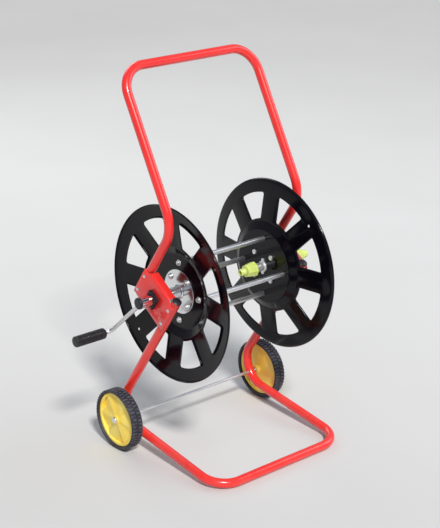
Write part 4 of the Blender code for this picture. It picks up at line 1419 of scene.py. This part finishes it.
    def water_shaft(self) -> None:
        """The right disc and its shaft, with the spigot that the inlet turns on."""
        outline = self.disc_outline(0.2330, 0.0060)[:-1]
        outline += [(0.2330, 0.0095), (0.2394, 0.0095), (0.2398, 0.0090), (0.2406, 0.0090),
                    (0.2410, 0.0095), (0.2446, 0.0095), (0.2450, 0.0091), (0.2450, 0.0060)]
        shaft = turned("water_shaft_chromed", outline, Vector(), 64, closed=True)
        shaft.subtract(self.disc_holes())
        put(settle(shaft.done(), standing(Side.RIGHT, self.reel)), CHROME, "reel", "water_shaft")


@dataclass
class Crank(Cart):
    """The crank's bent rod and the grip that turns on it."""

    rod_x: float = -0.2380
    rod_end_x: float = -0.3372
    rod_radius: float = 0.005
    rod_bend: float = 0.014
    rod_start: float = 0.009
    arm: float = 0.1670
    ribs: int = 13

    @staticmethod
    def arm_direction() -> Vector:
        """Which way the arm leaves the shaft."""
        angle = math.radians(-41.4)
        return Vector((0, math.cos(angle), math.sin(angle)))

    def build(self) -> None:
        """Build the rod and the grip."""
        out = self.arm_direction()
        start = self.reel + X_AXIS * self.rod_x
        elbow = start + out * self.arm
        end = elbow + X_AXIS * (self.rod_end_x - self.rod_x)
        line = [start - out * self.rod_start, elbow, end]
        rod = bent_tube("crank_rod_bent", line, [self.rod_bend], self.rod_radius, None, 28)
        put(rod.done(), ZINC, "reel", "crank_rod")
        outline = [(-0.2565, 0.0054), (-0.2565, 0.0104), (-0.2571, 0.0113), (-0.2580, 0.0117),
                   (-0.2592, 0.0128), (-0.2602, 0.0131), (-0.2690, 0.0131), (-0.2696, 0.0126)]
        first, last = -0.2704, -0.3292
        pitch = (last - first) / self.ribs
        for n in range(self.ribs):
            x = first + pitch * n
            outline += [(x, 0.0117), (x + pitch * 0.14, 0.0129), (x + pitch * 0.30, 0.0132),
                        (x + pitch * 0.62, 0.0132), (x + pitch * 0.78, 0.0129),
                        (x + pitch * 0.92, 0.0117)]
        outline += [(last, 0.0117), (-0.3297, 0.0129), (-0.3305, 0.0132), (-0.3365, 0.0132),
                    (-0.3384, 0.0128), (-0.3396, 0.0117), (-0.3402, 0.0090), (-0.3402, 0.0),
                    (-0.3380, 0.0), (-0.3380, 0.0054)]
        axis = elbow.copy()
        axis.x = self.reel.x
        grip = turned("crank_grip_ribbed", outline, axis, 56, closed=True).done(30)
        put(grip, GRIP, "grip", "crank_grip")


@dataclass
class Water(Cart):
    """The outlet inside the drum and the swivelling inlet outside."""

    bore: float = 0.0055
    flutes: int = 20

    def build(self) -> None:
        """Build every fitting."""
        reel, bore = self.reel, self.bore
        barrel = [(0.0988, bore), (0.0988, 0.0098), (0.0996, 0.0105), (0.1110, 0.0105),
                  (0.1114, 0.0101), (0.1122, 0.0101), (0.1126, 0.0105), (0.1247, 0.0105),
                  (0.1247, 0.0130), (0.1252, 0.0135), (0.1283, 0.0135), (0.1287, 0.0130),
                  (0.1287, 0.0105), (0.1305, 0.0105), (0.1305, bore)]
        pieces = [turned("barrel", barrel, reel, 48, closed=True).done(), *self.ears()]
        put(join("outlet_barrel_collared", pieces), ALLOY, "reel", "outlet_barrel")
        put(self.nut(), LIME, "reel", "outlet_nut")
        rings = [(0.0697, bore), (0.0697, 0.0083)]
        for n in range(4):
            x = 0.0690 - n * 0.0036
            rings += [(x, 0.0074), (x - 0.0012, 0.0074), (x - 0.0018, 0.0083), (x - 0.0028, 0.0080)]
        rings += [(0.0545, 0.0074), (0.0539, 0.0070), (0.0539, bore)]
        nipple = turned("outlet_nipple_ringed", rings, reel, 48, closed=True).done()
        put(nipple, LIME, "reel", "outlet_nipple")
        self.inlet()

    def ears(self) -> list[Piece]:
        """Two ears that hold the collar against the flange."""
        ears = []
        for sign in (-1, 1):
            middle = self.reel + Vector((0.1268, 0, sign * 0.0158))
            ear = Bench.block("ear", middle, Vector((0.0032, 0.0090, 0.0080)))
            ear.pick(Pick.EDGES, lambda m: abs(m.z - middle.z) > 0.0035 and abs(m.y - middle.y) > 0.004)
            ears.append(ear.bevel(0.0030, 4).tidy().soften(0.0004, 2).done())
        return ears

    def nut(self) -> Piece:
        """The eight-sided tapered nut, with flats, a chamfered big end and a stepped small end."""
        reel = self.reel
        start = reel + X_AXIS * 0.0985
        bench = Bench.ring("outlet_nut_tapered", start, -X_AXIS, 0.0186, 8)
        bench.pick_all().fill().extrude(X_AXIS * -0.0040)
        bench.extrude(X_AXIS * -0.0185).resize((1, 0.86, 0.86), reel)
        bench.extrude(X_AXIS * -0.0020).resize((1, 0.93, 0.93), reel)
        bench.extrude(X_AXIS * -0.0040).tidy()
        bench.pick(Pick.FACES, lambda m: abs(m.x - start.x + 0.0133) < 0.001)
        bench.inset(0.0011, -0.0005, True).tidy()
        bench.subtract([peg("bore", start + X_AXIS * 0.01, start - X_AXIS * 0.05, self.bore, 32)])
        return bench.soften(0.0008, 3, 20).done(30)

    def inlet(self) -> None:
        """The inlet: a fluted socket that turns on the spigot, and a tapered nose."""
        reel, bore = self.reel, self.bore
        outline = [(0.2333, 0.0099), (0.2333, 0.0136), (0.2339, 0.0143), (0.2350, 0.0145),
                   (0.2378, 0.0145), (0.2383, 0.0139), (0.2480, 0.0139), (0.2485, 0.0145),
                   (0.2508, 0.0145), (0.2524, 0.0138), (0.2545, 0.0116), (0.2553, 0.0106),
                   (0.2562, 0.0098), (0.2612, 0.0098), (0.2616, 0.0100), (0.2640, 0.0100),
                   (0.2645, 0.0095), (0.2672, 0.0092), (0.2680, 0.0084), (0.2680, bore), (0.2456, bore),
                   (0.2456, 0.0099)]
        body = turned("inlet_body", outline, reel, 60, closed=True).done()
        rib = Bench.block("rib", Vector((0.2431, 0, 0.0141)), Vector((0.0096, 0.0013, 0.0014)))
        model = rib.soften(0.0003, 1).done()
        turns = [Matrix.Rotation(FULL_TURN * k / self.flutes, 4, "X") for k in range(self.flutes)]
        ribs = [copy_piece(model, "rib", Matrix.Translation(reel) @ turn) for turn in turns]
        bpy.data.objects.remove(model, do_unlink=True)
        put(join("inlet_connector_fluted", [body, *ribs]), LIME, "inlet", "inlet_connector")


# ---- wheels -------------------------------------------------------------------------------------
@dataclass
class Wheels(Cart):
    """Both wheels with their tyres, and the axle with its washers and push nuts."""

    wheel_x: float = 0.2275
    facets: int = 12
    star_radius: float = 0.0600
    star_overlap: float = 0.0012
    star_level: float = 0.0098
    star_hole: float = 0.0077
    centre_radius: float = 0.0110
    valley: float = 0.0082
    slant: float = math.radians(11)
    tread_steps: int = 104
    nut_reach: float = 0.0133

    def build(self) -> None:
        """Build both wheels and the axle."""
        for model, finish, node, ending in ((self.hub(), YELLOW, "wheel_hub", "star"),
                                            (self.tyre(), TYRE, "tyre", "treaded")):
            for side in Side:
                name = f"{node}_{side.word}"
                piece = copy_piece(model, f"{name}_{ending}", self.on_axle(side, self.wheel_x))
                put(piece, finish, f"{side.word}_wheel", name)
            bpy.data.objects.remove(model, do_unlink=True)
        nut_x = self.wheel_x + self.nut_reach
        nuts = {f"push_nut_{side.word}": self.on_axle(side, nut_x) for side in Side}
        repeat(self.push_nut(), ZINC, "frame", "domed", nuts)
        washer = [(0.2046, 0.0042), (0.2046, 0.0068), (0.2049, 0.0071), (0.2062, 0.0071),
                  (0.2065, 0.0068), (0.2065, 0.0042)]
        washers = {f"wheel_washer_{side.word}": self.on_axle(side, 0) for side in Side}
        repeat(turned("washer", washer, Vector(), 40, closed=True).done(), ZINC, "frame", "", washers)
        rod = [(-0.2440, 0), (-0.2440, 0.0034), (-0.2434, 0.0040),
               (0.2434, 0.0040), (0.2440, 0.0034), (0.2440, 0)]
        put(turned("wheel_axle_turned", rod, self.axle, 32).done(), ZINC, "frame", "wheel_axle")

    def on_axle(self, side: Side, x: float) -> Matrix:
        """A place on the wheels' axis, at a distance from the middle plane."""
        return standing(side, self.axle + X_AXIS * side.value * x)

    def star(self) -> Piece:
        """The web: a star of ridges level with the rim, and valleys between them, on both faces."""
        outer, radius = X_AXIS * self.star_level, self.star_radius + self.star_overlap
        bench = Bench.ring("star", outer, X_AXIS, radius, self.facets).pick_all()
        factor = self.centre_radius / radius
        bench.extrude(Vector()).resize((1, factor, factor), outer)
        bench.extrude(X_AXIS * 0.0012).resize((1, 0.7, 0.7), outer)
        step = FULL_TURN / self.facets
        mesh = bmesh.from_edit_mesh(bench.obj.data)
        start = min(math.atan2(v.co.z, v.co.y) % step for v in mesh.verts if v.co.yz.length > 0.05)

        def in_valley(m: Vector) -> bool:
            """Whether a rim corner ends a valley."""
            turn = (math.atan2(m.z, m.y) - start) / step
            return m.yz.length > 0.05 and round(turn) % 2 == 1

        bench.pick(Pick.VERTS, in_valley).move(X_AXIS * -self.valley)
        bpy.ops.transform.rotate(value=self.slant, orient_axis="X", center_override=(0, 0, 0))
        bench.pick_all()
        bpy.ops.mesh.duplicate()
        bpy.ops.transform.mirror(constraint_axis=(True, False, False), center_override=(0, 0, 0))
        bench.pick(Pick.EDGES, lambda m: m.yz.length > self.star_radius * 0.92)
        bench.bridge()
        level, hole = self.star_level + 1e-3, self.star_hole * math.cos(step / 2) + 1e-3
        bench.pick(Pick.EDGES, lambda m: abs(m.x) > level and m.yz.length < hole).bridge()
        return bench.tidy().soften(0.0006, 2, 8).done(20)

    def hub(self) -> Piece:
        """The hub of the right wheel, about the origin: a flat ring, the star and a boss."""
        rim = [(-0.0100, 0.0594), (-0.0105, 0.0600), (-0.0105, 0.0655), (-0.0098, 0.0664),
               (0.0098, 0.0664), (0.0105, 0.0655), (0.0105, 0.0600), (0.0100, 0.0594), (0.0060, 0.0590),
               (-0.0060, 0.0590)]
        ring = turned("hub_ring", rim, Vector(), 96, closed=True).done(25)
        boss = [(-0.0205, 0.0045), (-0.0205, 0.0108), (-0.0198, 0.0116), (-0.0110, 0.0120),
                (0.0110, 0.0114), (0.0124, 0.0112), (0.0130, 0.0104), (0.0130, 0.0045)]
        centre = turned("hub_boss", boss, Vector(), 64, closed=True).done(30)
        return join("hub", [ring, self.star(), centre])

    def tyre(self) -> Piece:
        """The tyre about the origin: rounded walls and two staggered rows of tread blocks."""
        floor, top = 0.0726, 0.0749
        wall = [(0.0104, 0.0667), (0.0128, 0.0672), (0.0146, 0.0682), (0.0157, 0.0698),
                (0.0160, 0.0712), (0.0155, 0.0722), (0.0146, floor)]
        groove = [(-0.0007, floor), (0.0007, floor)]
        outline = [(-x, radius) for x, radius in wall] + groove + wall[::-1]
        bench = turned("tyre", outline, Vector(), self.tread_steps, closed=True)
        step = FULL_TURN / self.tread_steps
        middle = floor * math.cos(step / 2)

        def on_block(m: Vector) -> bool:
            """Whether a face becomes a tread block: every second one, staggered between the rows."""
            if abs(abs(m.x) - 0.00765) > 0.001 or m.yz.length < middle - 2e-4:
                return False
            place = math.floor((math.atan2(m.z, m.y) % FULL_TURN) / step)
            return place % 2 == (0 if m.x > 0 else 1)

        bench.pick(Pick.FACES, on_block).inset(0.0004, top - floor, True)
        return bench.tidy().done(25)

    def push_nut(self) -> Piece:
        """A domed cap nut, its seat at x = 0."""
        outline = [(0.0, 0.0043), (0.0, 0.0080), (0.0004, 0.0085), (0.0012, 0.0085), (0.0016, 0.0078),
                   (0.0030, 0.0075), (0.0040, 0.0066), (0.0047, 0.0046), (0.0049, 0.0), (0.0037, 0.0),
                   (0.0037, 0.0043)]
        return turned("push_nut", outline, Vector(), 48, closed=True).done(30)


# ---- studio -------------------------------------------------------------------------------------
def aim(data: bpy.types.ID, place: Sequence[float], target: Vector) -> Piece:
    """Stand a camera or a lamp somewhere, turned towards a target."""
    aimed = bpy.data.objects.new(data.name, data)
    bpy.context.scene.collection.objects.link(aimed)
    aimed.location = place
    aimed.rotation_euler = (target - Vector(place)).to_track_quat("-Z", "Y").to_euler()
    return aimed


@dataclass(frozen=True)
class Lamp:
    """A soft light: its width is in metres, or for a sun in radians."""

    name: str
    kind: str
    place: tuple[float, float, float]
    width: float
    power: float
    colour: Colour

    def hang(self, target: Vector) -> None:
        """Hang the lamp, turned towards a target."""
        data = bpy.data.lights.new(self.name, self.kind)
        setattr(data, "angle" if self.kind == "SUN" else "size", self.width)
        data.energy = self.power
        data.color = self.colour
        aim(data, self.place, target)


@dataclass
class Studio:
    """A plain pale floor, soft light, and the camera."""

    lens: float = 97.165909
    sensor: float = 36.0
    camera_at: tuple[float, float, float] = (-1.9938, -2.3836, 1.6119)
    look_at: tuple[float, float, float] = (0.036, 0.0169, 0.4453)
    floor_size: float = 160.0
    floor_colours: tuple[Colour, Colour] = ((0.575, 0.575, 0.57), (0.595, 0.595, 0.59))
    floor_roughness: float = 0.85
    sky_colour: Colour = (0.84, 0.90, 1.0)
    sky_strength: float = 0.34
    lamps: tuple[Lamp, ...] = (
        Lamp("key", "SUN", (-1.2, -2.7, 3.5), math.radians(9), 3.3, (1.0, 0.97, 0.93)),
        Lamp("fill", "AREA", (3.0, -1.2, 2.2), 2.2, 36, (0.90, 0.94, 1.0)),
        Lamp("back", "AREA", (0.5, 3.0, 2.6), 2.0, 34, (0.95, 0.97, 1.0)))

    def build(self) -> None:
        """Build the camera, the floor, the lights and the surroundings."""
        target = Vector(self.look_at)
        data = bpy.data.cameras.new("camera")
        data.sensor_width = self.sensor
        data.lens = self.lens
        bpy.context.scene.camera = aim(data, self.camera_at, target)
        self.floor()
        for lamp in self.lamps:
            lamp.hang(target)
        world = bpy.data.worlds.new("soft sky")
        bpy.context.scene.world = world
        world.use_nodes = True
        background = world.node_tree.nodes["Background"]
        background.inputs["Color"].default_value = (*self.sky_colour, 1.0)
        background.inputs["Strength"].default_value = self.sky_strength
        bpy.context.scene.view_settings.view_transform = "Standard"

    def floor(self) -> None:
        """Lay the floor."""
        Bench.clear()
        bpy.ops.mesh.primitive_plane_add(size=self.floor_size, location=(0, 0, -0.0002))
        floor = bpy.context.object
        floor.name = "studio_floor"
        material = bpy.data.materials.new("pale floor")
        material.use_nodes = True
        graph = Graph(material.node_tree)
        shader = material.node_tree.nodes["Principled BSDF"]
        tone = graph.span(graph.noise(1.5, 3.0), 0.3, 0.7)
        graph.feed(shader.inputs["Base Color"], graph.blend(tone, *self.floor_colours))
        shader.inputs["Roughness"].default_value = self.floor_roughness
        floor.data.materials.append(material)


def dress_kept_nodes() -> None:
    """Give the plain solids that stay their finishes."""
    for name in ("foot_sleeve_left", "foot_sleeve_right"):
        for slot in bpy.data.objects[name].material_slots:
            slot.material = ZINC.material()


def main() -> None:
    """Build the cart piece by piece, then the studio around it."""
    logging.basicConfig(level=logging.INFO, format="%(message)s")
    cart = Cart.read()
    for assembly in (TubeFrame, Brackets, Reel, Crank, Water, Wheels):
        assembly(cart.reel, cart.axle).build()
    dress_kept_nodes()
    Bench.clear()
    Studio().build()


if __name__ == "__main__":
    main()
